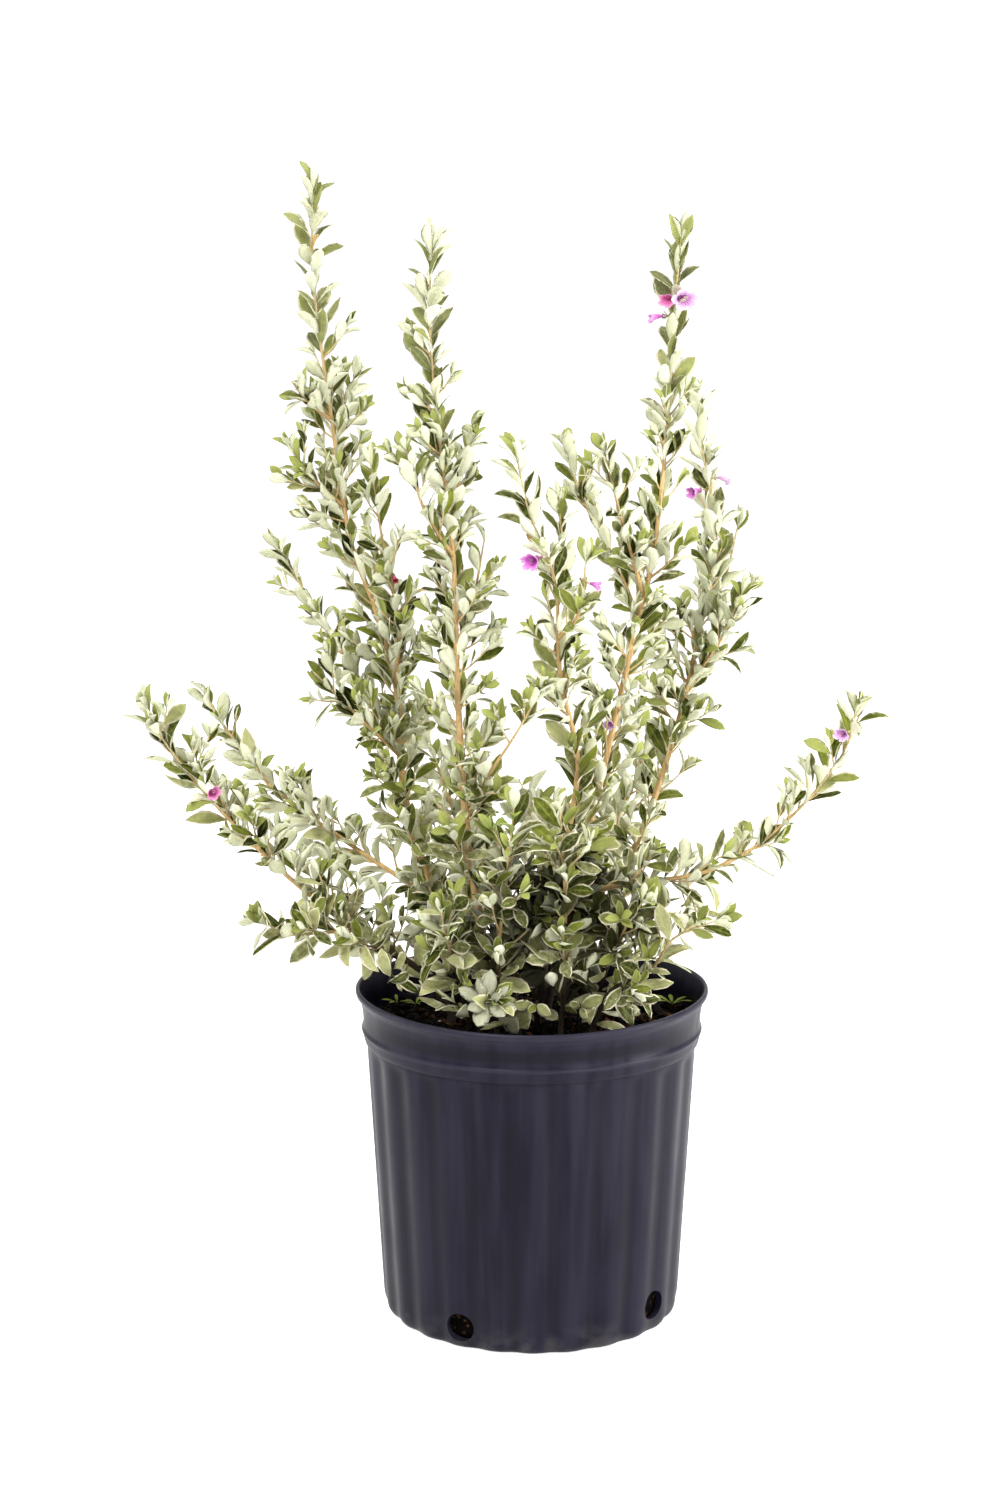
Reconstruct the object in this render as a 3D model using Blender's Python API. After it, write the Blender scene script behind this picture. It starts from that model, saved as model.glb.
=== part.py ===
"""Flowering desert shrub in a nursery pot: the fluted pot, its soil, the leafy stems that stand in plain
holes in the soil, and the blooms on them. Metres, +Z up. The origin is the middle of the pot's underside, and
the front is -Y."""

import math
import random

import bpy
from mathutils import Vector
from mathutils.bvhtree import BVHTree

# Pot
POT_HEIGHT = 0.260
RIM_RADIUS = 0.140
LIP_HEIGHT = 0.006
LIP_OVERHANG = 0.0024
WALL = 0.0018
FLOOR = 0.0025
COLLAR_HEIGHT = 0.037
COLLAR_FOOT = POT_HEIGHT - COLLAR_HEIGHT
COLLAR_FOOT_RADIUS = 0.1335
COLLAR_INNER_FOOT = COLLAR_FOOT + 0.006
BEAD_HEIGHT = POT_HEIGHT - 0.027
BEAD_RADIUS = 0.1360
BAND_HEIGHT = POT_HEIGHT - 0.023
BAND_RADIUS = 0.1352
BODY_TOP_RADIUS = 0.1290
BODY_FOOT_RADIUS = 0.1170
FOOT_RADIUS = 0.1080
HEEL_HEIGHT = 0.011
HEEL_BULGE = 0.0015
FLUTE_TOP = COLLAR_FOOT - 0.006
SHOULDER = COLLAR_FOOT - 0.001  # where the inside of the wall starts to widen into the collar
FLUTES = 24
FLUTE_DEPTH = 0.0018
POT_SIDES = 2 * FLUTES  # one on each ridge and one in each valley
DRAIN_RADIUS = 0.0100
DRAIN_HEIGHT = 0.0180
DRAIN_REACH = 0.012  # how far a drain hole's cutter stands out of the wall at each side
DRAIN_SIDES = 10
DRAIN_COUNT = 4
FIRST_DRAIN_ANGLE = math.radians(-29.5)  # from the front, towards +X

# Soil
SOIL_TOP = 0.240
SOIL_EDGE = 0.236
SOIL_FALL = 0.004  # how far the soil's edge lies under the ring inside it
SOIL_BUMP = 0.0014
SOIL_SIDES = 24
SOIL_GAP = 0.0006
STEM_DEPTH = 0.040
CLEARANCE = 0.0003
HOLE_SIDES = 6
SOIL_SEED = 3

# Wood
MAIN_SIDES = 5
BRANCH_SIDES = 4
BRANCH_RADIUS = 0.0019
SHOOT_SIDES = 3
SHOOT_RADIUS = 0.0014
TWIG_TIP_RADIUS = 0.0012
SHOOT_SPREAD = math.radians(50)
SHOOT_LIFT = 0.2
LOWEST_SHOOT = 0.14  # the shares of a stem's length between which its side shoots stand
HIGHEST_SHOOT = 0.76
SHOOT_SHRINK = 0.62  # how much shorter a shoot at the very tip would be than one at the foot
FIRST_STEM_SEED = 100
GOLDEN_ANGLE = math.radians(137.5)

# Leaves
LEAF_THICKNESS = 0.0007
LEAF_LENGTH = 0.0225
TIP_LEAF_LENGTH = 0.0150
YOUNG_REACH = 0.050  # how far from a tip the leaves start to get smaller
FIRST_LEAF = {"stem": 0.10, "branch": 0.12, "shoot": 0.30}  # the share of the route where its leaves start
LAST_LEAF = 0.985
LEAF_FOOT = 0.22  # the share of a leaf that may lie in its own stem's wood
LEAF_ASPECT = 0.47
LEAF_ARCH = 0.09
LEAF_STATIONS = ((0.62, 0.50, LEAF_ARCH), (1.0, 0.15, 0.0))  # share of the length, half width, height
LEAF_STEP = 0.0370
SHOOT_LEAF_STEP = 0.0240
LOW_LEAF_LEAN = 56  # degrees between a leaf and its stem, low and high on it
HIGH_LEAF_LEAN = 34
TIP_LEAF_LEAN = math.radians(26)
LEAF_ROLL = 0.6
TRIES = 7
TURN_AT_A_TRY = 0.7
LEAN_AT_A_TRY = 0.12
ROOM = 0.0004  # kept free round a leaf, and a little more round a shoot or a bloom
WIDE_ROOM = 0.0006

# Blooms
LOBES = 5
STALK_RADIUS = 0.0007
SEAT_STEP = 0.00005  # the steps by which a bloom is moved out of its wood until it is clear of it
BLOOM_STALK = ((0.16, 0.16), (0.42, 0.34))  # share of the length, share of the mouth's radius
BLOOM_BELL = ((0.82, 0.66, 0.58), (1.00, 1.00, 0.62), (0.93, 0.88, 0.46))  # the same, on and off the lobes
BLOOM_HOLLOW = 0.50
BLOOM_LEAN = 0.25  # how far a bloom turns from square to the wood towards the way it faces

# Each stem is the points that its middle line passes, from the soil to the tip; then its branches the same
# way, from the stem outwards; the radius where it leaves the soil; and how many short side shoots it bears,
# with the length of the lowest.
STEMS = {
    "stem_left_tall": {
        "path": [(-0.048, 0.014, 0.248), (-0.066, 0.019, 0.310), (-0.091, 0.026, 0.372),
                 (-0.104, 0.030, 0.430), (-0.108, 0.035, 0.500), (-0.125, 0.040, 0.565),
                 (-0.145, 0.045, 0.622), (-0.160, 0.051, 0.725), (-0.172, 0.056, 0.820),
                 (-0.172, 0.060, 0.902)],
        "branches": [
            [(-0.156, 0.050, 0.700), (-0.150, 0.068, 0.722), (-0.141, 0.080, 0.748)],
            [(-0.158, 0.051, 0.714), (-0.178, 0.038, 0.730), (-0.188, 0.026, 0.745)],
            [(-0.149, 0.047, 0.650), (-0.172, 0.034, 0.668), (-0.190, 0.020, 0.694)],
            [(-0.108, 0.035, 0.500), (-0.106, 0.012, 0.560), (-0.118, -0.002, 0.630),
             (-0.126, -0.008, 0.688)],
            [(-0.105, 0.031, 0.444), (-0.138, 0.056, 0.504), (-0.170, 0.072, 0.552),
             (-0.208, 0.090, 0.612)],
            [(-0.105, 0.031, 0.448), (-0.135, 0.008, 0.480), (-0.171, -0.012, 0.521)],
        ],
        "radius": 0.0042, "shoots": 6, "shoot_length": 0.062,
    },
    "stem_middle_tall": {
        "path": [(-0.030, -0.016, 0.248), (-0.042, -0.025, 0.330), (-0.052, -0.033, 0.408),
                 (-0.058, -0.043, 0.510), (-0.061, -0.052, 0.616), (-0.072, -0.060, 0.716),
                 (-0.078, -0.066, 0.796), (-0.075, -0.070, 0.856)],
        "branches": [
            [(-0.052, -0.033, 0.412), (-0.033, -0.064, 0.450), (-0.012, -0.092, 0.488),
             (0.008, -0.112, 0.527)],
            [(-0.064, -0.054, 0.640), (-0.055, -0.044, 0.680), (-0.046, -0.042, 0.716)],
            [(-0.062, -0.052, 0.622), (-0.082, -0.070, 0.652), (-0.096, -0.078, 0.700)],
            [(-0.059, -0.045, 0.532), (-0.046, -0.028, 0.580), (-0.037, -0.022, 0.628)],
        ],
        "radius": 0.0042, "shoots": 6, "shoot_length": 0.060,
    },
    "stem_right_tall": {
        "path": [(0.012, -0.002, 0.248), (0.032, -0.006, 0.340), (0.057, -0.013, 0.450),
                 (0.080, -0.018, 0.555), (0.094, -0.021, 0.620), (0.103, -0.026, 0.720),
                 (0.107, -0.028, 0.800), (0.112, -0.030, 0.862)],
        "branches": [
            [(0.081, -0.018, 0.562), (0.062, 0.004, 0.612), (0.040, 0.018, 0.652), (0.025, 0.030, 0.697)],
            [(0.086, -0.019, 0.584), (0.066, -0.050, 0.648), (0.052, -0.078, 0.700)],
        ],
        "radius": 0.0042, "shoots": 5, "shoot_length": 0.058,
    },
    "stem_right_back": {
        "path": [(0.024, 0.030, 0.248), (0.050, 0.038, 0.302), (0.083, 0.049, 0.365),
                 (0.112, 0.059, 0.445), (0.134, 0.069, 0.533), (0.149, 0.078, 0.615),
                 (0.137, 0.085, 0.690), (0.133, 0.090, 0.735)],
        "branches": [
            [(0.125, 0.065, 0.500), (0.150, 0.046, 0.536), (0.168, 0.036, 0.580)],
            [(0.137, 0.071, 0.550), (0.158, 0.098, 0.582), (0.170, 0.116, 0.625)],
        ],
        "radius": 0.0040, "shoots": 5, "shoot_length": 0.058,
    },
    "stem_centre": {
        "path": [(0.004, -0.030, 0.248), (0.014, -0.034, 0.320), (0.027, -0.044, 0.395),
                 (0.034, -0.060, 0.460), (0.020, -0.075, 0.530), (0.016, -0.085, 0.599),
                 (-0.004, -0.094, 0.655), (-0.014, -0.100, 0.700)],
        "branches": [
            [(0.017, -0.083, 0.585), (0.022, -0.064, 0.618), (0.019, -0.050, 0.658)],
            [(0.019, -0.080, 0.553), (0.034, -0.104, 0.580), (0.038, -0.126, 0.622)],
        ],
        "radius": 0.0038, "shoots": 5, "shoot_length": 0.055,
    },
    "stem_left_low": {
        "path": [(-0.064, -0.018, 0.248), (-0.086, -0.022, 0.282), (-0.129, -0.032, 0.311),
                 (-0.170, -0.038, 0.345), (-0.207, -0.044, 0.380), (-0.250, -0.051, 0.428),
                 (-0.284, -0.057, 0.475), (-0.296, -0.060, 0.503)],
        "branches": [
            [(-0.138, -0.033, 0.318), (-0.164, -0.062, 0.324), (-0.187, -0.083, 0.328),
             (-0.207, -0.100, 0.342)],
        ],
        "radius": 0.0036, "shoots": 5, "shoot_length": 0.050,
    },
    "stem_left_back": {
        "path": [(-0.030, 0.036, 0.248), (-0.050, 0.042, 0.292), (-0.085, 0.053, 0.326),
                 (-0.150, 0.068, 0.368), (-0.213, 0.084, 0.412), (-0.246, 0.093, 0.452),
                 (-0.268, 0.100, 0.486)],
        "branches": [],
        "radius": 0.0036, "shoots": 5, "shoot_length": 0.052,
    },
    "stem_right_low": {
        "path": [(-0.012, -0.050, 0.248), (-0.014, -0.058, 0.296), (0.002, -0.068, 0.337),
                 (0.046, -0.080, 0.362), (0.090, -0.086, 0.370), (0.132, -0.090, 0.379),
                 (0.172, -0.096, 0.402), (0.208, -0.102, 0.438), (0.234, -0.110, 0.478),
                 (0.241, -0.115, 0.513)],
        "branches": [],
        "radius": 0.0036, "shoots": 5, "shoot_length": 0.042,
    },
    "stem_rim_right": {
        "path": [(0.046, -0.070, 0.248), (0.060, -0.086, 0.284), (0.089, -0.105, 0.305),
                 (0.106, -0.120, 0.334), (0.138, -0.136, 0.352)],
        "branches": [],
        "radius": 0.0024, "shoots": 1, "shoot_length": 0.028,
    },
    "stem_front_left": {
        "path": [(-0.028, -0.062, 0.248), (-0.026, -0.082, 0.320), (-0.019, -0.106, 0.388),
                 (-0.015, -0.122, 0.436)],
        "branches": [],
        "radius": 0.0024, "shoots": 2, "shoot_length": 0.040,
    },
    "stem_front_right": {
        "path": [(0.022, -0.062, 0.248), (0.025, -0.090, 0.310), (0.023, -0.110, 0.380),
                 (0.019, -0.124, 0.438)],
        "branches": [],
        "radius": 0.0024, "shoots": 2, "shoot_length": 0.040,
    },
    "stem_front_low": {
        "path": [(-0.042, -0.078, 0.248), (-0.041, -0.092, 0.268), (-0.033, -0.106, 0.282)],
        "branches": [],
        "radius": 0.0020, "shoots": 0, "shoot_length": 0.030,
    },
    "stem_front_left_low": {
        "path": [(-0.050, -0.045, 0.248), (-0.058, -0.066, 0.288), (-0.066, -0.092, 0.326),
                 (-0.070, -0.108, 0.352)],
        "branches": [],
        "radius": 0.0024, "shoots": 2, "shoot_length": 0.036,
    },
    "stem_front_right_low": {
        "path": [(0.048, -0.040, 0.248), (0.056, -0.062, 0.290), (0.068, -0.092, 0.330),
                 (0.082, -0.120, 0.362)],
        "branches": [],
        "radius": 0.0024, "shoots": 2, "shoot_length": 0.036,
    },
    "stem_back_left": {
        "path": [(-0.020, 0.058, 0.248), (-0.036, 0.088, 0.308), (-0.060, 0.130, 0.368),
                 (-0.082, 0.165, 0.425), (-0.090, 0.182, 0.458)],
        "branches": [],
        "radius": 0.0032, "shoots": 5, "shoot_length": 0.056,
    },
    "stem_back_right": {
        "path": [(0.032, 0.060, 0.248), (0.047, 0.092, 0.310), (0.076, 0.130, 0.378),
                 (0.104, 0.160, 0.440), (0.114, 0.174, 0.476)],
        "branches": [],
        "radius": 0.0032, "shoots": 5, "shoot_length": 0.056,
    },
    "stem_back": {
        "path": [(0.004, 0.062, 0.248), (0.008, 0.102, 0.308), (0.004, 0.146, 0.366),
                 (-0.004, 0.186, 0.414), (-0.008, 0.206, 0.442)],
        "branches": [],
        "radius": 0.0032, "shoots": 5, "shoot_length": 0.056,
    },
}

# Each bloom: its stem, which of the stem's routes (0 is the stem itself), the height where it leaves the
# wood, the way it faces, its length and the radius of its mouth.
BLOOMS = {
    "bloom_centre": ("stem_centre", 0, 0.618, (-0.55, -0.80, 0.20), 0.0165, 0.0100),
    "bloom_centre_small": ("stem_centre", 2, 0.604, (0.80, -0.35, 0.10), 0.0120, 0.0062),
    "bloom_top_right": ("stem_right_tall", 0, 0.803, (0.93, -0.30, 0.20), 0.0190, 0.0092),
    "bloom_top_red": ("stem_right_tall", 0, 0.797, (-0.62, -0.76, 0.20), 0.0135, 0.0062),
    "bloom_top_left": ("stem_right_tall", 0, 0.781, (-0.97, 0.10, 0.20), 0.0185, 0.0055),
    "bloom_right": ("stem_right_back", 0, 0.652, (-0.66, -0.74, 0.10), 0.0160, 0.0080),
    "bloom_right_faded": ("stem_right_back", 0, 0.664, (0.88, -0.30, 0.36), 0.0180, 0.0055),
    "bloom_far_right": ("stem_right_low", 0, 0.484, (-0.30, -0.90, 0.30), 0.0150, 0.0085),
    "bloom_far_left": ("stem_left_low", 0, 0.420, (0.25, -0.75, 0.60), 0.0150, 0.0080),
    "bloom_low": ("stem_right_tall", 0, 0.474, (0.10, -0.98, 0.15), 0.0130, 0.0060),
    "bud_left": ("stem_left_tall", 4, 0.596, (0.35, -0.90, 0.25), 0.0120, 0.0032),
}

# Colours and finishes, linear RGB
POT_COLOUR = (0.037, 0.034, 0.049)
SOIL_COLOUR = (0.020, 0.013, 0.009)
LEAF_COLOUR = (0.29, 0.36, 0.22)
BLOOM_COLOUR = (0.62, 0.10, 0.50)
BUD_COLOUR = (0.30, 0.02, 0.06)

placed = []  # what stands already: owner, middle, reach, the whole shape's tree, the tree without its root


def clear_scene():
    for thing in list(bpy.data.objects):
        bpy.data.objects.remove(thing, do_unlink=True)


def make_material(name, colour, roughness):
    material = bpy.data.materials.new(name)
    material.use_nodes = True
    shader = material.node_tree.nodes["Principled BSDF"]
    shader.inputs["Base Color"].default_value = (*colour, 1.0)
    shader.inputs["Roughness"].default_value = roughness
    shader.inputs["Metallic"].default_value = 0.0
    return material


def pot_material():
    return make_material("satin_black_plastic", POT_COLOUR, 0.42)


def soil_material():
    return make_material("bark_soil", SOIL_COLOUR, 0.95)


def leaf_material():
    return make_material("felted_leaf", LEAF_COLOUR, 0.75)


def bloom_material():
    return make_material("magenta_petal", BLOOM_COLOUR, 0.55)


def bud_material():
    return make_material("dark_bud", BUD_COLOUR, 0.55)


def mesh_object(name, shape, material):
    """An object from the vertices and the faces of a shape."""
    mesh = bpy.data.meshes.new(name)
    mesh.from_pydata([tuple(v) for v in shape[0]], [], shape[1])
    mesh.materials.append(material)
    thing = bpy.data.objects.new(name, mesh)
    bpy.context.scene.collection.objects.link(thing)
    return thing


def baked(thing, name):
    """The object with its modifiers applied, as one plain mesh under the given name."""
    shape = thing.evaluated_get(bpy.context.evaluated_depsgraph_get())
    mesh = bpy.data.meshes.new_from_object(shape)
    material = thing.data.materials[0]
    bpy.data.objects.remove(thing, do_unlink=True)
    mesh.name = name
    mesh.materials.clear()
    mesh.materials.append(material)
    made = bpy.data.objects.new(name, mesh)
    bpy.context.scene.collection.objects.link(made)
    return made


def combine(trunk, parts, name, operation):
    """Joins the parts to the trunk, or cuts them from it, in one Boolean on their collection."""
    group = bpy.data.collections.new(name + "_parts")
    bpy.context.scene.collection.children.link(group)
    for part in parts:
        for home in list(part.users_collection):
            home.objects.unlink(part)
        group.objects.link(part)
    modifier = trunk.modifiers.new("combine", "BOOLEAN")
    modifier.operation = operation
    modifier.operand_type = "COLLECTION"
    modifier.collection = group
    modifier.solver = "EXACT"
    made = baked(trunk, name)
    for part in list(group.objects):
        bpy.data.objects.remove(part, do_unlink=True)
    bpy.data.collections.remove(group)
    return made


def turned(rings, sides, top):
    """A closed surface through rings whose radius and height are functions of the side, from the middle of
    the first ring to a top point on the axis."""
    vertices = [Vector((0, 0, rings[0][1](0)))]
    for radius_at, height_at in rings:
        for k in range(sides):
            angle = 2 * math.pi * k / sides
            radius = radius_at(k)
            vertices.append(Vector((radius * math.sin(angle), -radius * math.cos(angle), height_at(k))))
    vertices.append(Vector((0, 0, top)))
    faces = []
    for k in range(sides):
        after = (k + 1) % sides
        faces.append((0, 1 + after, 1 + k))
        for ring in range(len(rings) - 1):
            low = 1 + ring * sides
            faces.append((low + k, low + after, low + sides + after, low + sides + k))
        highest = 1 + (len(rings) - 1) * sides
        faces.append((highest + k, highest + after, len(vertices) - 1))
    return vertices, faces


def flute(k):
    """How far the wall stands in at a side: 0 on each flute's ridge, the full depth in the valley between."""
    return 0.0 if k % 2 == 0 else FLUTE_DEPTH


def even(value):
    return lambda k: value


def fluted(radius):
    return lambda k: radius - flute(k)


def body_radius(z):
    """The fluted wall's radius, which widens evenly from the heel to the collar."""
    share = (z - HEEL_HEIGHT) / (COLLAR_FOOT - HEEL_HEIGHT)
    return BODY_FOOT_RADIUS + share * (BODY_TOP_RADIUS - BODY_FOOT_RADIUS)


def inner_radius(z):
    """The inside of the wall, clear of the valleys by the wall's thickness."""
    return body_radius(z) - FLUTE_DEPTH - WALL


def build_pot():
    """The moulded shell, turned from its underside up the outside, over the lip and down the inside."""
    heel_radius = 0.5 * (FOOT_RADIUS + BODY_FOOT_RADIUS) + HEEL_BULGE
    rings = [
        (fluted(FOOT_RADIUS), even(0.0)),
        (fluted(heel_radius), even(0.3 * HEEL_HEIGHT)),
        (fluted(BODY_FOOT_RADIUS), even(HEEL_HEIGHT)),
        (fluted(body_radius(FLUTE_TOP)), even(FLUTE_TOP)),
        (even(BODY_TOP_RADIUS), even(COLLAR_FOOT)),
        (even(COLLAR_FOOT_RADIUS), even(COLLAR_FOOT)),
        (even(BEAD_RADIUS), even(BEAD_HEIGHT)),
        (even(BAND_RADIUS), even(BAND_HEIGHT)),
        (even(RIM_RADIUS - LIP_OVERHANG), even(POT_HEIGHT - LIP_HEIGHT)),
        (even(RIM_RADIUS), even(POT_HEIGHT - 0.5 * LIP_HEIGHT)),
        (even(RIM_RADIUS - 0.8 * WALL), even(POT_HEIGHT)),
        (even(RIM_RADIUS - 1.9 * WALL), even(POT_HEIGHT - 0.1 * LIP_HEIGHT)),
        (even(COLLAR_FOOT_RADIUS - WALL), even(COLLAR_INNER_FOOT)),
        (even(inner_radius(SHOULDER)), even(SHOULDER)),
        (even(inner_radius(HEEL_HEIGHT)), even(HEEL_HEIGHT)),
        (even(FOOT_RADIUS - WALL), even(FLOOR)),
    ]
    plastic = pot_material()
    pot = mesh_object("pot_shell", turned(rings, POT_SIDES, FLOOR), plastic)
    cutters = []
    for n in range(DRAIN_COUNT):
        angle = FIRST_DRAIN_ANGLE + n * 2 * math.pi / DRAIN_COUNT
        outward = Vector((math.sin(angle), -math.cos(angle), 0))
        middle = outward * BODY_FOOT_RADIUS + Vector((0, 0, DRAIN_HEIGHT))
        ends = [middle - outward * DRAIN_REACH, middle + outward * DRAIN_REACH]
        cutters.append(mesh_object("drain", tube(ends, [DRAIN_RADIUS] * 2, DRAIN_SIDES), plastic))
    pot = combine(pot, cutters, "pot", "DIFFERENCE")
    pot.data.shade_smooth()
    pot.data.set_sharp_from_angle(angle=math.radians(35))
    return pot


def build_soil():
    """The filled body of soil, clear of the pot all round, with a hole for each stem."""
    draw = random.Random(SOIL_SEED)

    def bumpy(height):
        heights = [height + draw.uniform(-SOIL_BUMP, SOIL_BUMP) for k in range(SOIL_SIDES)]
        return lambda k: heights[k]

    rings = [
        (even(FOOT_RADIUS - 2 * WALL), even(FLOOR + CLEARANCE)),
        (even(inner_radius(HEEL_HEIGHT) - SOIL_GAP), even(HEEL_HEIGHT)),
        (even(inner_radius(SHOULDER) - SOIL_GAP), even(SHOULDER)),
        (even(COLLAR_FOOT_RADIUS - WALL - 2 * SOIL_GAP), even(SOIL_EDGE - SOIL_FALL)),
        (even(0.75 * COLLAR_FOOT_RADIUS), bumpy(SOIL_EDGE)),
        (even(0.42 * COLLAR_FOOT_RADIUS), bumpy(SOIL_TOP)),
    ]
    bark = soil_material()
    soil = mesh_object("soil_body", turned(rings, SOIL_SIDES, SOIL_TOP), bark)
    cutters = []
    for stem in STEMS.values():
        x, y, z = stem["path"][0]
        hole = (stem["radius"] + CLEARANCE) / math.cos(math.pi / HOLE_SIDES)
        ends = [Vector((x, y, z - STEM_DEPTH - CLEARANCE)), Vector((x, y, z + STEM_DEPTH))]
        cutters.append(mesh_object("hole", tube(ends, [hole] * 2, HOLE_SIDES), bark))
    soil = combine(soil, cutters, "soil", "DIFFERENCE")
    soil.data.shade_smooth()
    soil.data.set_sharp_from_angle(angle=math.radians(40))
    return soil


def tube(points, radii, sides):
    """Rings of the given radii round a line of points, closed at both ends."""
    last = len(points) - 1
    vertices, faces = [], []
    across = None
    for i, point in enumerate(points):
        tangent = (points[min(i + 1, last)] - points[max(i - 1, 0)]).normalized()
        if across is None:
            across = Vector((1, 0, 0)) if abs(tangent.x) < 0.9 else Vector((0, 1, 0))
        across = (across - across.dot(tangent) * tangent).normalized()
        other = tangent.cross(across)
        for k in range(sides):
            angle = 2 * math.pi * k / sides
            vertices.append(point + radii[i] * (math.cos(angle) * across + math.sin(angle) * other))
    for i in range(last):
        for k in range(sides):
            after = (k + 1) % sides
            low = i * sides
            faces.append((low + k, low + after, low + sides + after, low + sides + k))
    faces.append(tuple(reversed(range(sides))))
    faces.append(tuple(last * sides + k for k in range(sides)))
    return vertices, faces


def lengths_along(points):
    total = [0.0]
    for a, b in zip(points, points[1:]):
        total.append(total[-1] + (b - a).length)
    return total


def at_share(points, share):
    """The point and the direction at a share of the line's length, from its root to its tip."""
    total = lengths_along(points)
    wanted = share * total[-1]
    for i in range(len(points) - 1):
        if wanted <= total[i + 1] or i == len(points) - 2:
            a, b = points[i], points[i + 1]
            step = (wanted - total[i]) / (total[i + 1] - total[i])
            return a.lerp(b, step), (b - a).normalized()


def at_height(points, z):
    """The point and the direction where the line reaches a height."""
    for a, b in zip(points, points[1:]):
        if a.z <= z <= b.z:
            return a.lerp(b, (z - a.z) / (b.z - a.z)), (b - a).normalized()
    raise ValueError("the line doesn't reach this height")


def radial(tangent, angle):
    """The direction square to the tangent, turned by an angle from the one nearest the front."""
    front = Vector((0, -1, 0))
    if abs(tangent.dot(front)) > 0.95:
        front = Vector((1, 0, 0))
    across = (front - front.dot(tangent) * tangent).normalized()
    return math.cos(angle) * across + math.sin(angle) * tangent.cross(across)


def leaf(root, along, up, length, start=0.0, grow=0.0):
    """A thin arched blade, narrow at its root, widest past its middle and blunt at its tip. A start above 0
    leaves its root out, and grow makes it that much larger all round."""
    side = up.cross(along)
    half = up * (0.5 * LEAF_THICKNESS + grow)
    corners = [root + along * (start * length) + up * (start * LEAF_ARCH * length)]
    for share, spread, height in LEAF_STATIONS:
        middle = root + along * (share * length + grow) + up * (height * length)
        reach = side * (spread * LEAF_ASPECT * length + grow)
        corners += [middle + reach, middle - reach]
    vertices = [corner + half for corner in corners] + [corner - half for corner in corners]
    faces = [(0, 2, 1), (1, 2, 4, 3), (5, 6, 7), (6, 8, 9, 7)]
    faces += [(0, 5, 7, 2), (2, 7, 9, 4), (4, 9, 8, 3), (3, 8, 6, 1), (1, 6, 5, 0)]
    return vertices, faces


def tree_of(shape):
    return BVHTree.FromPolygons([tuple(v) for v in shape[0]], shape[1], epsilon=0.0)


def middle_and_reach(shape):
    middle = sum(shape[0], Vector()) / len(shape[0])
    return middle, max((v - middle).length for v in shape[0])


def remember(owner, whole, without_root=None):
    middle, reach = middle_and_reach(whole)
    tree = tree_of(whole)
    placed.append((owner, middle, reach, tree, tree_of(without_root) if without_root else tree))


def is_blocked(owner, whole, without_root):
    """Whether a shape meets another stem's pieces, or meets its own stem's pieces beyond its root."""
    middle, reach = middle_and_reach(whole)
    whole_tree, free_tree = tree_of(whole), tree_of(without_root)
    for other, there, size, other_whole, other_free in placed:
        if (there - middle).length > reach + size:
            continue
        pair = (free_tree, other_free) if other == owner else (whole_tree, other_whole)
        if pair[0].overlap(pair[1]):
            return True
    return False


def tapered(points, root_radius, tip_radius):
    total = lengths_along(points)
    return [root_radius + (tip_radius - root_radius) * t / total[-1] for t in total]


def side_shoot(path, stem, number, draw):
    """The two ends of one short side shoot, which leaves its stem at a slant. All its draws are made whether
    or not there is room for it."""
    step = (number + 0.5 + draw.uniform(-0.3, 0.3)) / stem["shoots"]
    share = LOWEST_SHOOT + (HIGHEST_SHOOT - LOWEST_SHOOT) * step
    turn = number * GOLDEN_ANGLE + draw.uniform(-0.5, 0.5)
    length = stem["shoot_length"] * (1.0 - SHOOT_SHRINK * share) * draw.uniform(0.85, 1.2)
    root, tangent = at_share(path, share)
    out = tangent * math.cos(SHOOT_SPREAD) + radial(tangent, turn) * math.sin(SHOOT_SPREAD)
    lifted = (out + Vector((0, 0, SHOOT_LIFT))).normalized()
    return [root, root + lifted * length]


def place_leaf(owner, path, share, turn, lean, length, radius, draw, leaves):
    """Tries a leaf at a share of the path, turned a little further at each try, and keeps the first that has
    room."""
    root, tangent = at_share(path, share)
    for attempt in range(TRIES):
        out = radial(tangent, turn + attempt * TURN_AT_A_TRY)
        angle = lean + LEAN_AT_A_TRY * attempt * (-1) ** attempt
        along = (tangent * math.cos(angle) + out * math.sin(angle)).normalized()
        flat = (tangent * math.sin(angle) - out * math.cos(angle)).normalized()
        roll = draw.uniform(-LEAF_ROLL, LEAF_ROLL)
        up = (flat * math.cos(roll) + along.cross(flat) * math.sin(roll)).normalized()
        start = max(LEAF_FOOT, (radius + 0.5 * BRANCH_RADIUS) / length)
        whole = leaf(root, along, up, length, 0.0, ROOM)
        free = leaf(root, along, up, length, start, ROOM)
        if not is_blocked(owner, whole, free):
            remember(owner, whole, free)
            leaves.append(leaf(root, along, up, length))
            return


def leaves_along(owner, path, first, step, radius, draw, leaves):
    """Leaves at even steps round the path by the golden angle, and a pair at its tip."""
    reach = lengths_along(path)[-1]
    count = max(1, int((1.0 - first) * reach / step))
    turn = draw.uniform(0, 2 * math.pi)
    for n in range(count):
        share = first + (1.0 - first) * (n + 0.35) / count
        youth = max(0.0, 1.0 - (1.0 - share) * reach / YOUNG_REACH)
        length = (LEAF_LENGTH + (TIP_LEAF_LENGTH - LEAF_LENGTH) * youth) * draw.uniform(0.9, 1.12)
        lean = math.radians(LOW_LEAF_LEAN + (HIGH_LEAF_LEAN - LOW_LEAF_LEAN) * share)
        lean += draw.uniform(-0.15, 0.15)
        place_leaf(owner, path, share, turn + n * GOLDEN_ANGLE, lean, length, radius, draw, leaves)
    for n in range(2):
        length = TIP_LEAF_LENGTH * draw.uniform(1.0, 1.2)
        around = turn + 1.0 + n * math.pi
        place_leaf(owner, path, LAST_LEAF, around, TIP_LEAF_LEAN, length, radius, draw, leaves)


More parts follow.
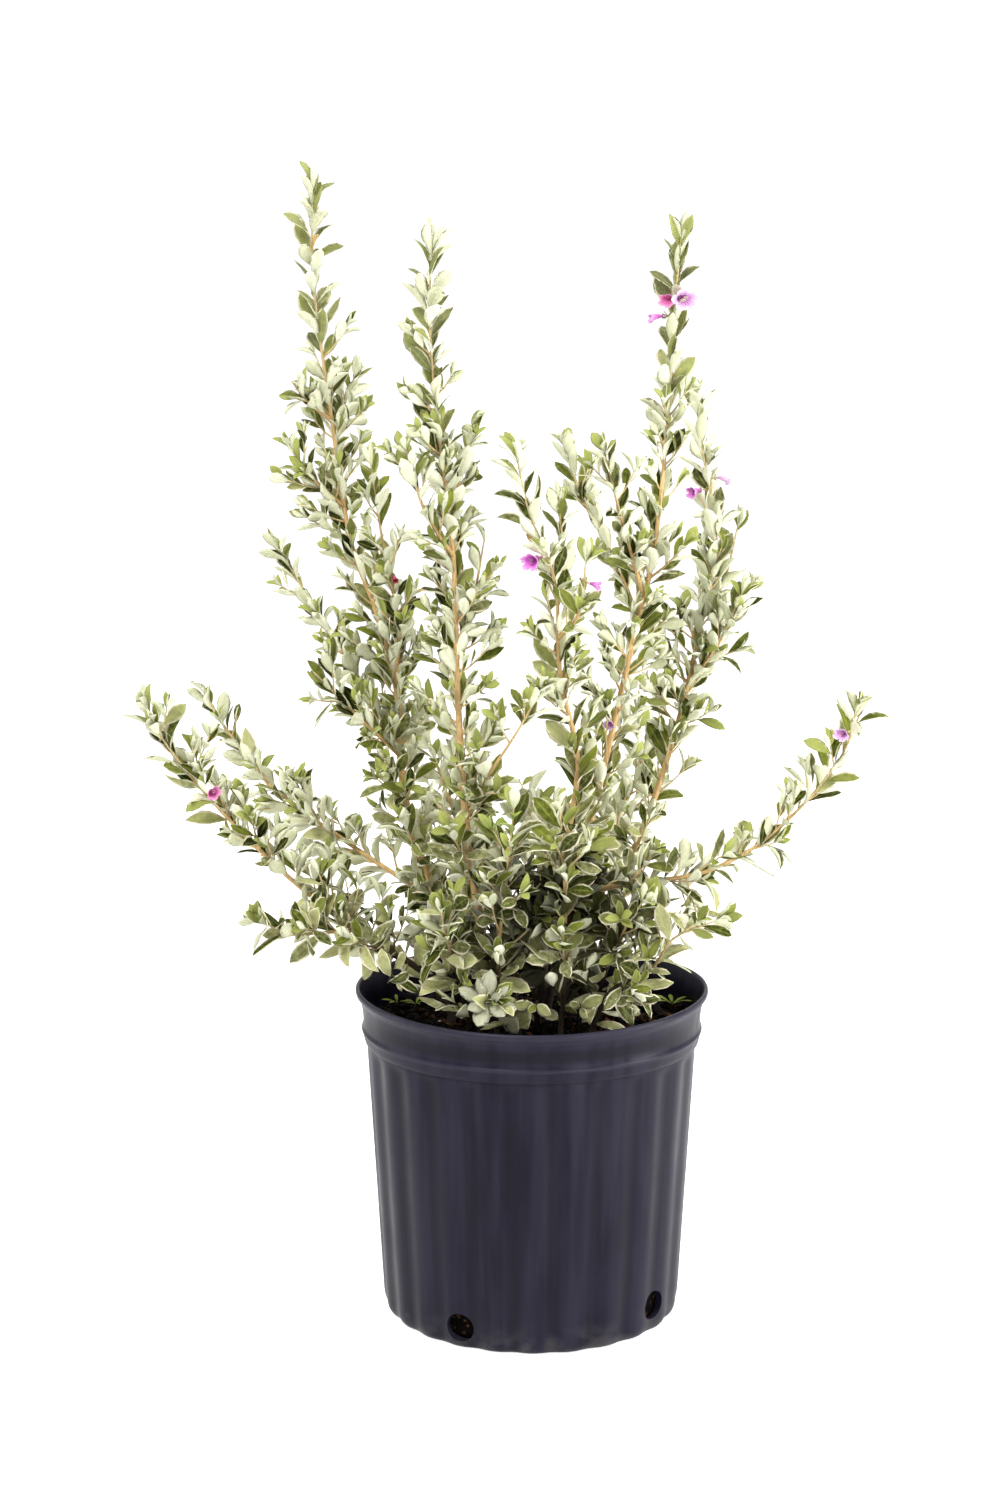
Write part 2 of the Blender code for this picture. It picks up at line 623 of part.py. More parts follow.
def stem_routes(stem):
    return [stem["path"]] + stem["branches"]


def buried(path):
    """The stem's line with its upright length in the soil."""
    x, y, z = path[0]
    return [Vector((x, y, z - STEM_DEPTH))] + path


def stem_tubes(stem):
    """The woody tubes of a stem and its branches."""
    radii = [stem["radius"]] + tapered(stem["path"], stem["radius"], TWIG_TIP_RADIUS)
    tubes = [tube(buried(stem["path"]), radii, MAIN_SIDES)]
    for branch in stem["branches"]:
        tubes.append(tube(branch, tapered(branch, BRANCH_RADIUS, TWIG_TIP_RADIUS), BRANCH_SIDES))
    return tubes


def shoots_of(name, stem, draw):
    """The lines and the tubes of the stem's side shoots that have room."""
    lines, tubes = [], []
    radii = [SHOOT_RADIUS, TWIG_TIP_RADIUS]
    wide = [radius + WIDE_ROOM for radius in radii]
    for number in range(stem["shoots"]):
        line = side_shoot(stem["path"], stem, number, draw)
        beyond = (line[1] - line[0]).normalized() * (stem["radius"] + SHOOT_RADIUS + BRANCH_RADIUS)
        whole = tube(line, wide, SHOOT_SIDES)
        free = tube([line[0] + beyond, line[1]], wide, SHOOT_SIDES)
        if not is_blocked(name, whole, free):
            remember(name, whole, free)
            lines.append(line)
            tubes.append(tube(line, radii, SHOOT_SIDES))
    return lines, tubes


def build_stem(name, number, material):
    """One leafy stem: its wood, its side shoots and its leaves, joined into one solid."""
    stem = STEMS[name]
    draw = random.Random(FIRST_STEM_SEED + number)
    lines, shoots = shoots_of(name, stem, draw)
    leaves = []
    for line in lines:
        leaves_along(name, line, FIRST_LEAF["shoot"], SHOOT_LEAF_STEP, SHOOT_RADIUS, draw, leaves)
    leaves_along(name, stem["path"], FIRST_LEAF["stem"], LEAF_STEP, stem["radius"], draw, leaves)
    for branch in stem["branches"]:
        leaves_along(name, branch, FIRST_LEAF["branch"], LEAF_STEP, BRANCH_RADIUS, draw, leaves)
    wood = stem_tubes(stem)
    trunk = mesh_object("wood", wood[0], material)
    parts = [mesh_object("piece", shape, material) for shape in wood[1:] + shoots + leaves]
    combine(trunk, parts, name, "UNION")
    print(name, "leaves", len(leaves), "shoots", len(shoots))


def bloom_shape(root, facing, length, mouth):
    """A bell: a thin stalk of five sides that widens to a throat, then five lobes spread round the mouth, and
    the hollow inside it."""
    across = radial(facing, 0.0)
    other = facing.cross(across)

    def ring(out, radii):
        turns = [2 * math.pi * k / len(radii) for k in range(len(radii))]
        return [root + facing * (out * length) + r * (math.cos(t) * across + math.sin(t) * other)
                for r, t in zip(radii, turns)]

    vertices = ring(0.0, [STALK_RADIUS] * LOBES)
    for out, radius in BLOOM_STALK:
        vertices += ring(out, [radius * mouth] * LOBES)
    for out, lobe, between in BLOOM_BELL:
        vertices += ring(out, [lobe * mouth, between * mouth] * LOBES)
    vertices.append(root + facing * (BLOOM_HOLLOW * length))

    round_mouth = 2 * LOBES
    throat, bell = 2 * LOBES, 3 * LOBES
    bands = ((0, LOBES), (LOBES, LOBES), (bell, round_mouth), (bell + round_mouth, round_mouth))
    faces = [tuple(reversed(range(LOBES)))]
    for start, size in bands:
        for k in range(size):
            after = (k + 1) % size
            faces.append((start + k, start + after, start + size + after, start + size + k))
    for k in range(LOBES):
        after = (k + 1) % LOBES
        notch = bell + 2 * k + 1
        faces.append((throat + k, notch, bell + 2 * k))
        faces.append((throat + k, throat + after, notch))
        faces.append((throat + after, bell + 2 * after, notch))
    inner = bell + 2 * round_mouth
    for k in range(round_mouth):
        faces.append((inner + k, inner + (k + 1) % round_mouth, len(vertices) - 1))
    return vertices, faces


def seated(point, facing, length, mouth, wood):
    """Where the bloom's stalk ends just clear of the wood that it grows from."""
    def meets_wood(out):
        shape = tree_of(bloom_shape(point + facing * out, facing, length, mouth))
        return any(tree.overlap(shape) for tree in wood)

    out = 0.0
    while meets_wood(out):
        out += SEAT_STEP
    return point + facing * (out + CLEARANCE)


def build_blooms():
    petals, red = bloom_material(), bud_material()
    for name, (stem_name, route, height, facing, length, mouth) in BLOOMS.items():
        point, tangent = at_height(stem_routes(STEMS[stem_name])[route], height)
        square = (Vector(facing) - Vector(facing).dot(tangent) * tangent).normalized()
        facing = (square + BLOOM_LEAN * Vector(facing)).normalized()
        wood = [tree for owner, middle, reach, tree, free in placed if owner == stem_name]
        root = seated(point, facing, length, mouth, wood)
        remember(name, bloom_shape(root, facing, length + WIDE_ROOM, mouth + WIDE_ROOM))
        material = red if name.startswith("bud") else petals
        mesh_object(name, bloom_shape(root, facing, length, mouth), material)


def build_object():
    clear_scene()
    for stem in STEMS.values():
        stem["path"] = [Vector(p) for p in stem["path"]]
        stem["branches"] = [[Vector(p) for p in branch] for branch in stem["branches"]]
    for fixed in (build_pot(), build_soil()):
        corners = [v.co.copy() for v in fixed.data.vertices]
        remember(fixed.name, (corners, [tuple(p.vertices) for p in fixed.data.polygons]))
    for name, stem in STEMS.items():
        for shape in stem_tubes(stem):
            remember(name, shape)
    build_blooms()
    felt = leaf_material()
    for number, name in enumerate(STEMS):
        build_stem(name, number, felt)


build_object()
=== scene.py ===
# Looks for the potted flowering shrub: pot, soil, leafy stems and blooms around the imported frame.
# Metres, +Z up, the front is -Y.
import math
import random

import bpy
import numpy as np
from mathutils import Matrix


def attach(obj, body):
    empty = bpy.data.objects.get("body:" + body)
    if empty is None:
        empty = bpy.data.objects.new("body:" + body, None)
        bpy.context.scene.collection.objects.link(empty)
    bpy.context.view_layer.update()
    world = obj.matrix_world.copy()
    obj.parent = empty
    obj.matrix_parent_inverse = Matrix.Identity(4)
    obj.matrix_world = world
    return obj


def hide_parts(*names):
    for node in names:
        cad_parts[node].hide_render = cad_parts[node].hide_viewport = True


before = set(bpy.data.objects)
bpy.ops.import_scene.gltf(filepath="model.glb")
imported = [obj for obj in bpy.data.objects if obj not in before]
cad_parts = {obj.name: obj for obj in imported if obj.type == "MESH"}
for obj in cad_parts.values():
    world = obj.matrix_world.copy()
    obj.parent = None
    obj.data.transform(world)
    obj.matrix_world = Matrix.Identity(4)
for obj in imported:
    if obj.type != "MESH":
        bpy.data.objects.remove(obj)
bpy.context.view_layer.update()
print("frame loaded")

goldenAngle = math.radians(137.5)
fullTurn = 2 * math.pi


# Camera, light and floor

view = {
    "place": (-0.025, -2.2, 0.845),
    "tilt": 80.0,            # degrees from straight down
    "focal": 67.92,          # mm on a 36 mm sensor, along the photo's long side
    "clip": (0.05, 60.0),
}
studio = {
    "sky": 0.63,             # how strongly the white room lights the plant
    "backdrop": 1.12,        # how bright the room itself looks
    "floorSize": 40.0,
    "floorColour": (0.80, 0.80, 0.80),
    "floorGlow": 0.24,       # what the floor sends up to the plant on top of what falls on it
    "floorWhite": 0.70,      # and what it shows to the camera, so that it stays white to the horizon
    # name: place, what it looks at, width and height, watts
    "lamps": {
        "topSoftbox": ((-1.5, -2.6, 3.9), (0.0, 0.0, 0.45), (1.6, 1.6), 165),
        "leftStrip": ((-1.7, 0.25, 0.7), (0.0, 0.0, 0.35), (0.35, 1.6), 6),
        "rightStrip": ((1.5, -0.35, 0.7), (0.0, 0.0, 0.35), (0.45, 1.6), 24),
        "frontStrip": ((1.15, -1.75, 0.6), (0.0, 0.0, 0.3), (0.16, 1.4), 12),
        "backSoftbox": ((0.5, 2.2, 1.9), (0.0, 0.0, 0.5), (1.6, 1.2), 34),
    },
}


def addObject(name, data):
    thing = bpy.data.objects.new(name, data)
    bpy.context.scene.collection.objects.link(thing)
    return thing


def addCamera():
    lens = bpy.data.cameras.new("camera")
    lens.lens = view["focal"]
    lens.clip_start, lens.clip_end = view["clip"]
    camera = addObject("camera", lens)
    camera.location = view["place"]
    camera.rotation_euler = (math.radians(view["tilt"]), 0, 0)
    bpy.context.scene.camera = camera


def addLamps():
    for name, (place, target, size, watts) in studio["lamps"].items():
        light = bpy.data.lights.new(name, "AREA")
        light.shape = "RECTANGLE"
        light.size, light.size_y = size
        light.energy = watts
        lamp = addObject(name, light)
        x, y, z = np.subtract(target, place)
        lamp.location = place
        lamp.rotation_euler = (math.atan2(math.hypot(x, y), -z), 0, math.atan2(-x, y))


def addRoom():
    # a white world: one strength lights the plant, another is what the camera sees
    world = bpy.data.worlds.new("whiteRoom")
    bpy.context.scene.world = world
    world.use_nodes = True
    room = Nodes(world.node_tree)
    sky = room.tree.nodes["Background"].inputs
    sky["Color"].default_value = (1, 1, 1, 1)
    room.feed(sky["Strength"], room.forCamera(studio["sky"], studio["backdrop"]))
    bpy.context.scene.view_settings.view_transform = "Standard"


# Shader helpers: every mask, colour and height that is passed on is a socket

class Nodes:
    def __init__(self, tree):
        self.tree = tree

    def feed(self, socket, value):
        # a socket is linked, and anything else is set as the value
        if isinstance(value, bpy.types.NodeSocket):
            self.tree.links.new(value, socket)
        else:
            socket.default_value = value

    def add(self, kind, inputs=None, **settings):
        node = self.tree.nodes.new("ShaderNode" + kind)
        for key, value in settings.items():
            setattr(node, key, value)
        for key, value in (inputs or {}).items():
            self.feed(node.inputs[key], value)
        return node.outputs

    def calc(self, operation, first, second=0.0):
        return self.add("Math", {0: first, 1: second}, operation=operation)[0]

    def times(self, first, *others):
        # the product of them all
        for other in others:
            first = self.calc("MULTIPLY", first, other)
        return first

    def off(self, value, middle):
        # how far a value is from the middle, either way
        return self.calc("ABSOLUTE", self.calc("SUBTRACT", value, middle))

    def fade(self, value, low, high):
        # 0 at low and before it, 1 at high and after it, with a soft S between them
        inputs = {"Value": value, "From Min": low, "From Max": high}
        return self.add("MapRange", inputs, interpolation_type="SMOOTHSTEP")["Result"]

    def forCamera(self, other, seen):
        # one value for the camera's own rays, another for all the rest
        ray = self.add("LightPath")["Is Camera Ray"]
        return self.add("MapRange", {"Value": ray, "To Min": other, "To Max": seen})["Result"]

    def group(self, name, **inputs):
        return self.add("Group", inputs, node_tree=bpy.data.node_groups[name])


class Look(Nodes):
    def __init__(self, name, roughness, **sockets):
        self.material = bpy.data.materials.new(name)
        self.material.use_nodes = True
        super().__init__(self.material.node_tree)
        self.shader = self.tree.nodes["Principled BSDF"].inputs
        self.shader["Roughness"].default_value = roughness
        for key, value in sockets.items():
            self.shader[key.replace("_", " ")].default_value = value

    @property
    def place(self):
        # the piece's own coordinates, from one node in each material
        node = self.tree.nodes.get("Texture Coordinate")
        return (node.outputs if node else self.add("TexCoord"))["Object"]

    def height(self):
        return self.add("SeparateXYZ", {0: self.place})["Z"]

    def value(self, name):
        return self.add("Attribute", attribute_name=name)["Fac"]

    def ownMap(self):
        return self.add("UVMap", uv_map="ownMap")[0]

    def stretched(self, *scale):
        return self.add("Mapping", {"Vector": self.place, "Scale": scale})[0]

    def mottle(self, scale, detail, low, high, vector=None):
        vector = self.place if vector is None else vector
        return self.group("mottle", Vector=vector, Scale=scale, Detail=detail, Low=low, High=high)["Mask"]

    def grit(self, fine, coarse, swell):
        return self.group("grit", Vector=self.place, Fine=fine, Coarse=coarse, Swell=swell)["Height"]

    def mix(self, mask, first, second):
        colours = [c if isinstance(c, bpy.types.NodeSocket) else (*c, 1.0) for c in (first, second)]
        return self.add("Mix", {0: mask, 6: colours[0], 7: colours[1]}, data_type="RGBA")[2]

    def layers(self, colour, *coats):
        # each coat: its mask, how much of it, and the colour that it lays over what is there
        for mask, share, over in coats:
            colour = self.mix(mask if share == 1 else self.times(mask, share), colour, over)
        return colour

    def finish(self, colour, bump, strength, distance):
        self.tree.links.new(colour, self.shader["Base Color"])
        normal = self.add("Bump", {"Height": bump, "Strength": strength, "Distance": distance})["Normal"]
        self.tree.links.new(normal, self.shader["Normal"])
        return self.material


def newGroup(name, inputs, outputs):
    # its nodes, the sockets that it is given (a vector where there is no value) and the ones that it makes
    group = bpy.data.node_groups.new(name, "ShaderNodeTree")
    for label, value in inputs.items():
        kind = "NodeSocketVector" if value is None else "NodeSocketFloat"
        socket = group.interface.new_socket(label, in_out="INPUT", socket_type=kind)
        if value is not None:
            socket.default_value = value
    for label in outputs:
        group.interface.new_socket(label, in_out="OUTPUT", socket_type="NodeSocketFloat")
    return Nodes(group), group.nodes.new("NodeGroupInput").outputs, group.nodes.new("NodeGroupOutput").inputs


def mottleGroup():
    # noise in metres of the piece's own coordinates, spread so that Low turns to 0 and High to 1
    inside, given, made = newGroup(
        "mottle", {"Vector": None, "Scale": 100.0, "Detail": 2.0, "Low": 0.35, "High": 0.65}, ["Mask"])
    noise = inside.add("TexNoise", {key: given[key] for key in ("Vector", "Scale", "Detail")})["Fac"]
    inside.feed(made["Mask"], inside.fade(noise, given["Low"], given["High"]))


def gritGroup():
    # fine speckle for bump, on a coarser swell
    inside, given, made = newGroup(
        "grit", {"Vector": None, "Fine": 2500.0, "Coarse": 300.0, "Swell": 0.5}, ["Height"])
    fine, coarse = (
        inside.add("TexNoise", {"Vector": given["Vector"], "Scale": given[key], "Detail": 2.0})["Fac"]
        for key in ("Fine", "Coarse"))
    inside.feed(made["Height"], inside.calc("ADD", fine, inside.times(coarse, given["Swell"])))


def bladeGroup():
    # reads a leaf's own map, x across (upper face to 0.5, underside above it) and y along
    inside, given, made = newGroup(
        "blade", {"Map": None, "Veins": 6.0, "Slant": 0.4}, ["Under", "Margin", "Midrib", "Vein"])
    x, y, _ = inside.add("SeparateXYZ", {0: given["Map"]})
    outward = inside.off(inside.times(inside.calc("FRACT", inside.times(x, 2.0)), 2.0), 1.0)
    slanted = inside.calc("SUBTRACT", y, inside.times(outward, given["Slant"]))
    fromVein = inside.off(inside.calc("FRACT", inside.times(slanted, given["Veins"])), 0.5)
    inside.feed(made["Under"], inside.calc("GREATER_THAN", x, 0.5))
    inside.feed(made["Margin"], inside.fade(outward, 0.60, 0.82))
    inside.feed(made["Midrib"], inside.fade(outward, 0.16, 0.02))
    inside.feed(made["Vein"], inside.fade(fromVein, 0.16, 0.02))


mottleGroup()
gritGroup()
bladeGroup()
print("shader groups made")


# Geometry helpers: shapes are whole arrays, and a block is what one shape adds to a mesh

def metres(millimetres):
    # rows of three, from whole millimetres
    return np.array(millimetres, float).reshape(-1, 3) / 1000


def unit(vectors):
    # each vector over its own length
    return vectors / np.maximum(np.linalg.norm(vectors, axis=-1, keepdims=True), 1e-9)


def squareTo(axes, vectors):
    # what is left of each vector across its axis, at length 1
    return unit(vectors - np.sum(vectors * axes, 1, keepdims=True) * axes)


def smoothRoute(points, perSpan=8):
    # Catmull-Rom: at each point the curve runs along the line from the point before to the one after
    given = np.asarray(points, float)
    p = np.vstack([2 * given[0] - given[1], given, 2 * given[-1] - given[-2]])
    spans = len(given) - 1
    t = np.linspace(0, spans, spans * perSpan + 1)
    i = np.minimum(t.astype(int), spans - 1)
    u = (t - i)[:, None]
    a, b, c, d = p[i], p[i + 1], p[i + 2], p[i + 3]
    return 0.5 * (2 * b + (c - a) * u + (2 * a - 5 * b + 4 * c - d) * u**2 + (3 * b - a - 3 * c + d) * u**3)


def lengthsAlong(route):
    # the length of the route up to each of its points
    return np.concatenate([[0.0], np.cumsum(np.linalg.norm(np.diff(route, axis=0), axis=1))])


def alongRoute(route, shares):
    # points and directions at shares of the route's length
    lengths = lengthsAlong(route)
    wanted = np.atleast_1d(shares) * lengths[-1]
    slopes = np.gradient(route, lengths, axis=0)
    points, directions = (np.stack([np.interp(wanted, lengths, line[:, k]) for k in range(3)], 1)
                          for line in (route, slopes))
    return points, unit(directions)


def nearestOn(route, point):
    return route[np.argmin(np.linalg.norm(route - point, axis=1))]


def wayOut(directions, turns):
    # square to each direction, turned from the side that is nearest the front
    front = np.where(np.abs(directions[:, 1:2]) > 0.95, [[1.0, 0.0, 0.0]], [[0.0, -1.0, 0.0]])
    across = squareTo(directions, front)
    turns = np.asarray(turns, float)[:, None]
    return np.cos(turns) * across + np.sin(turns) * np.cross(directions, across)


def leanOut(directions, out, lean):
    # a blade that leans out from a stem: the way along it, and the way up from its upper face
    cos, sin = np.cos(lean)[:, None], np.sin(lean)[:, None]
    return directions * cos + out * sin, directions * sin - out * cos


def tubeGrid(route, radii, sides):
    # rings round a route: the middle line, plus the radius times a turn round it
    slopes = unit(np.gradient(route, axis=0))
    steady = np.eye(3)[np.argmin(np.abs(slopes).max(0))]
    across = unit(steady - (slopes @ steady)[:, None] * slopes)
    other = np.cross(slopes, across)
    turns = np.linspace(0, fullTurn, sides, endpoint=False)
    ring = np.cos(turns)[:, None] * across[:, None] + np.sin(turns)[:, None] * other[:, None]
    return route[:, None] + radii[:, None, None] * ring


def gridBlock(grid, material=0, **values):
    # a surface of rings that close round, with a point in the middle of each end ring, and its map
    rows, cols = grid.shape[:2]
    total = rows * cols
    index = np.arange(total).reshape(rows, cols)
    after = np.roll(index, -1, axis=1)
    quads = np.stack([index[:-1], after[:-1], after[1:], index[1:]], -1)
    first = np.stack([np.full(cols, total), after[0], index[0]], -1)
    last = np.stack([np.full(cols, total + 1), index[-1], after[-1]], -1)
    x = np.arange(cols + 1) / cols
    y = np.arange(rows) / (rows - 1)
    low, high = np.repeat(y[:-1], cols), np.repeat(y[1:], cols)
    left, right = np.tile(x[:-1], rows - 1), np.tile(x[1:], rows - 1)
    quadMap = np.stack([left, low, right, low, right, high, left, high], -1).reshape(-1, 2)
    sizes = np.repeat([4, 3], [(rows - 1) * cols, 2 * cols])
    return {
        "points": np.vstack([grid.reshape(-1, 3), grid[0].mean(0), grid[-1].mean(0)]),
        "corners": np.concatenate([quads.ravel(), first.ravel(), last.ravel()]), "sizes": sizes,
        "map": np.vstack([quadMap, np.repeat([[0.5, 0.0], [0.5, 1.0]], 3 * cols, 0)]),
        "material": np.full(len(sizes), material),
        "values": {key: np.append(np.repeat(v, cols), [v[0], v[-1]]) for key, v in values.items()},
    }


def makeMesh(name, blocks, materials):
    def joined(key, kind):
        return np.concatenate([b[key] for b in blocks]).astype(kind).ravel()

    points, sizes = joined("points", np.float32), joined("sizes", np.int32)
    offsets = np.cumsum([0] + [len(b["points"]) for b in blocks[:-1]])
    corners = np.concatenate([b["corners"] + o for b, o in zip(blocks, offsets)])
    mesh = bpy.data.meshes.new(name)
    mesh.vertices.add(len(points) // 3)
    mesh.vertices.foreach_set("co", points)
    mesh.loops.add(len(corners))
    mesh.loops.foreach_set("vertex_index", corners.astype(np.int32))
    mesh.polygons.add(len(sizes))
    mesh.polygons.foreach_set("loop_start", np.concatenate([[0], np.cumsum(sizes)[:-1]]).astype(np.int32))
    mesh.polygons.foreach_set("material_index", joined("material", np.int32))
    mesh.uv_layers.new(name="ownMap").uv.foreach_set("vector", joined("map", np.float32))
    for key in sorted({k for b in blocks for k in b["values"]}):
        values = [b["values"].get(key, np.zeros(len(b["points"]))) for b in blocks]
        data = mesh.attributes.new(key, "FLOAT", "POINT").data
        data.foreach_set("value", np.concatenate(values).astype(np.float32))
    for material in materials:
        mesh.materials.append(material)
    mesh.update(calc_edges=True)
    mesh.shade_smooth()
    return mesh


def addPiece(mesh, slot, *nodes):
    # rides on the root, and stands for the CAD nodes that are named
    piece = addObject(mesh.name, mesh)
    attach(piece, "root")
    if nodes:
        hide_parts(*nodes)


lattice = {"points": 64, "shift": (31.7, 17.3)}


def lumpy(x, y, size, seed):
    # value noise from -1 to 1: random heights on a square lattice, eased between its points
    points, shift = lattice["points"], lattice["shift"]
    heights = np.random.default_rng(seed).uniform(-1, 1, (points, points))
    gx, gy = x / size + shift[0], y / size + shift[1]
    ix, iy = np.floor(gx).astype(int), np.floor(gy).astype(int)
    ux, uy = (u * u * (3 - 2 * u) for u in (gx - ix, gy - iy))
    low, high = (
        heights[ix % points, row % points] * (1 - ux) + heights[(ix + 1) % points, row % points] * ux
        for row in (iy, iy + 1))
    return low * (1 - uy) + high * uy


# Pot

pot = {
    "flutes": 24, "columnsPerFlute": 14, "fluteDepth": 0.0019, "wallRings": 20, "innerRings": 10,
    "fluteEdge": 1.25,             # over 1 the grooves are narrower than the panels between them
    "waves": ((3, 0.6, 0.00025), (7, 0.0, 0.00015)),      # round the wall: how many, their phase and depth
    "rimLift": (0.0035, 0.0030),   # how far the rim is stretched up at the front and at the back
    "sideLift": 0.0035,            # and how much further at the sides
    "liftBand": (0.2355, 0.0185),  # from this height, growing over this much
    # degrees from the front, and height
    "drains": ((-28.5, 0.018), (53.5, 0.0235), (150.5, 0.018), (240.5, 0.018)),
    "drainRadius": 0.0116, "drainSides": 40,
    "drainWall": 0.1196, "drainReach": 0.014,      # where the wall is, and how far to each side of it
    "sharpFrom": 38,               # degrees
    # up the outside, over the rim and down the inside: radius and height in tenths of a millimetre, and how
    # deep the flutes are there, in tenths of their depth
    "units": (10000, 10000, 10),
    "outside": [(1060, 0, 0), (1106, 0, 6), (1134, 3, 10), (1154, 12, 10), (1170, 30, 10), (1184, 58, 10),
        (1191, 90, 10), (1196, 130, 10)],
    "body": [(1196, 130, 10), (1315, 2130, 10)],
    "collar": [(1315, 2165, 8), (1314, 2195, 3), (1313, 2215, 0), (1313, 2226, 0), (1318, 2228, 0),
        (1331, 2230, 0), (1337, 2236, 0), (1344, 2262, 0), (1352, 2295, 0), (1357, 2316, 0),
        (1362, 2325, 0), (1364, 2334, 0), (1361, 2343, 0), (1354, 2352, 0), (1350, 2372, 0),
        (1350, 2410, 0), (1358, 2460, 0), (1370, 2505, 0), (1383, 2533, 0), (1396, 2541, 0),
        (1406, 2550, 0), (1411, 2566, 0), (1409, 2584, 0), (1402, 2596, 0), (1392, 2600, 0),
        (1383, 2597, 0), (1377, 2588, 0)],
    "inside": [(1370, 2560, 0), (1356, 2515, 0), (1344, 2465, 0), (1338, 2420, 0), (1334, 2370, 0),
        (1328, 2320, 0), (1317, 2280, 0), (1290, 2250, 0), (1258, 2220, 0), (1250, 2150, 0)],
    "floor": [(1136, 110, 0), (1090, 50, 0), (1050, 28, 0), (500, 25, 0)],
}


def potProfile():
    # the tables one after the other, with even steps up the wall and down its inner side
    outside, body, collar, inside, floor = (
        np.array(pot[key]) / pot["units"] for key in ("outside", "body", "collar", "inside", "floor"))
    body = body[0] + (body[1] - body[0]) * np.linspace(0, 1, pot["wallRings"])[1:, None]
    inner = inside[-1] + (floor[0] - inside[-1]) * np.linspace(0, 1, pot["innerRings"])[1:-1, None]
    return np.vstack([outside, body, collar, inside, inner, floor])


def potGrid():
    # radius(profile, turn) = the profile's radius less the flutes' depth times a groove curve of the turn;
    # the band over the bead is stretched up, less at the back than at the front, as the rim of a used pot
    # is
    profile = potProfile()
    turns = np.linspace(0, fullTurn, pot["flutes"] * pot["columnsPerFlute"], endpoint=False)
    groove = (0.5 - 0.5 * np.cos(pot["flutes"] * turns)) ** pot["fluteEdge"]
    uneven = sum(depth * np.sin(count * turns + phase) for count, phase, depth in pot["waves"])
    outer = (profile[:, 2] > 0) | (np.arange(len(profile)) < len(pot["outside"]))
    grooved = profile[:, :1] - pot["fluteDepth"] * profile[:, 2:] * groove
    radius = grooved + np.where(outer[:, None], uneven, 0)
    front, back = pot["rimLift"]
    lift = front + (back - front) * (0.5 - 0.5 * np.cos(turns)) + pot["sideLift"] * np.sin(turns) ** 2
    start, over = pot["liftBand"]
    height = profile[:, 1:2] + lift * np.clip((profile[:, 1:2] - start) / over, 0, 1)
    return np.stack([radius * np.sin(turns), -radius * np.cos(turns), height], -1)


def potPlastic():
    look = Look("charcoalPlastic", 0.36, Specular_IOR_Level=0.145)
    x, y, z = look.add("SeparateXYZ", {0: look.place})
    # lighter vertical streaks: partly a random tone of the plastic, partly painted sheen bands down the wall
    streak = look.mottle(90.0, 2.0, 0.30, 0.72, look.stretched(1, 1, 0.06))
    cloud = look.mottle(16.0, 3.0, 0.38, 0.66)
    # painted shade in the grooves and in the collar's hollow, painted highlights on the lip and the bead,
    # dust in the corner of the foot
    turn = look.calc("ARCTAN2", x, look.times(y, -1.0))
    crest = look.calc("COSINE", look.times(turn, float(pot["flutes"])))
    paintedGrooveShade = look.times(look.fade(crest, -0.1, -0.9), look.fade(z, 0.222, 0.214))
    paintedCollarShade = look.fade(look.off(z, 0.2445), 0.0075, 0.0020)
    paintedRimHighlight = look.calc("MAXIMUM", look.fade(z, 0.252, 0.260), look.fade(look.off(z, 0.2334), 0.0022, 0.0004))
    dust = look.times(look.fade(z, 0.030, 0.002), look.mottle(60.0, 4.0, 0.40, 0.70))
    colour = look.layers(
        look.mix(cloud, (0.0050, 0.0043, 0.0122), (0.0076, 0.0067, 0.0170)),
        (streak, 0.70, (0.0180, 0.0162, 0.0295)), (paintedGrooveShade, 0.45, (0.0026, 0.0022, 0.0060)),
        (paintedCollarShade, 0.65, (0.0022, 0.0019, 0.0050)), (paintedRimHighlight, 0.45, (0.036, 0.033, 0.050)),
        (dust, 0.30, (0.105, 0.098, 0.092)))
    rough = look.calc("ADD", look.times(cloud, 0.08), look.times(streak, 0.06))
    look.feed(look.shader["Roughness"], look.calc("ADD", rough, 0.30))
    return look.finish(colour, look.calc("ADD", look.grit(1400.0, 120.0, 0.9), streak), 0.10, 0.0004)


def drainCutter(turn, height, material):
    # a plain cylinder through the wall, square to it
    out = np.array([math.sin(turn), -math.cos(turn), 0.0])
    middle = np.array([0, 0, height]) + out * pot["drainWall"]
    route = np.stack([middle - pot["drainReach"] * out, middle + pot["drainReach"] * out])
    grid = tubeGrid(route, np.full(2, pot["drainRadius"]), pot["drainSides"])
    return addObject("cutter", makeMesh("drainCutter", [gridBlock(grid)], [material]))


def addPot():
    plastic = potPlastic()
    shell = addObject("pot_blank", makeMesh("pot_blank", [gridBlock(potGrid())], [plastic]))
    cutters = [drainCutter(math.radians(turn), height, plastic) for turn, height in pot["drains"]]
    for cutter in cutters:
        cut = shell.modifiers.new("drain", "BOOLEAN")
        cut.operation, cut.solver, cut.object = "DIFFERENCE", "EXACT", cutter
    mesh = bpy.data.meshes.new_from_object(shell.evaluated_get(bpy.context.evaluated_depsgraph_get()))
    for thing in cutters + [shell]:
        bpy.data.objects.remove(thing, do_unlink=True)
    mesh.name = "pot_shell"
    mesh.shade_smooth()
    mesh.set_sharp_from_angle(angle=math.radians(pot["sharpFrom"]))
    addPiece(mesh, "pot", "pot")


# Soil

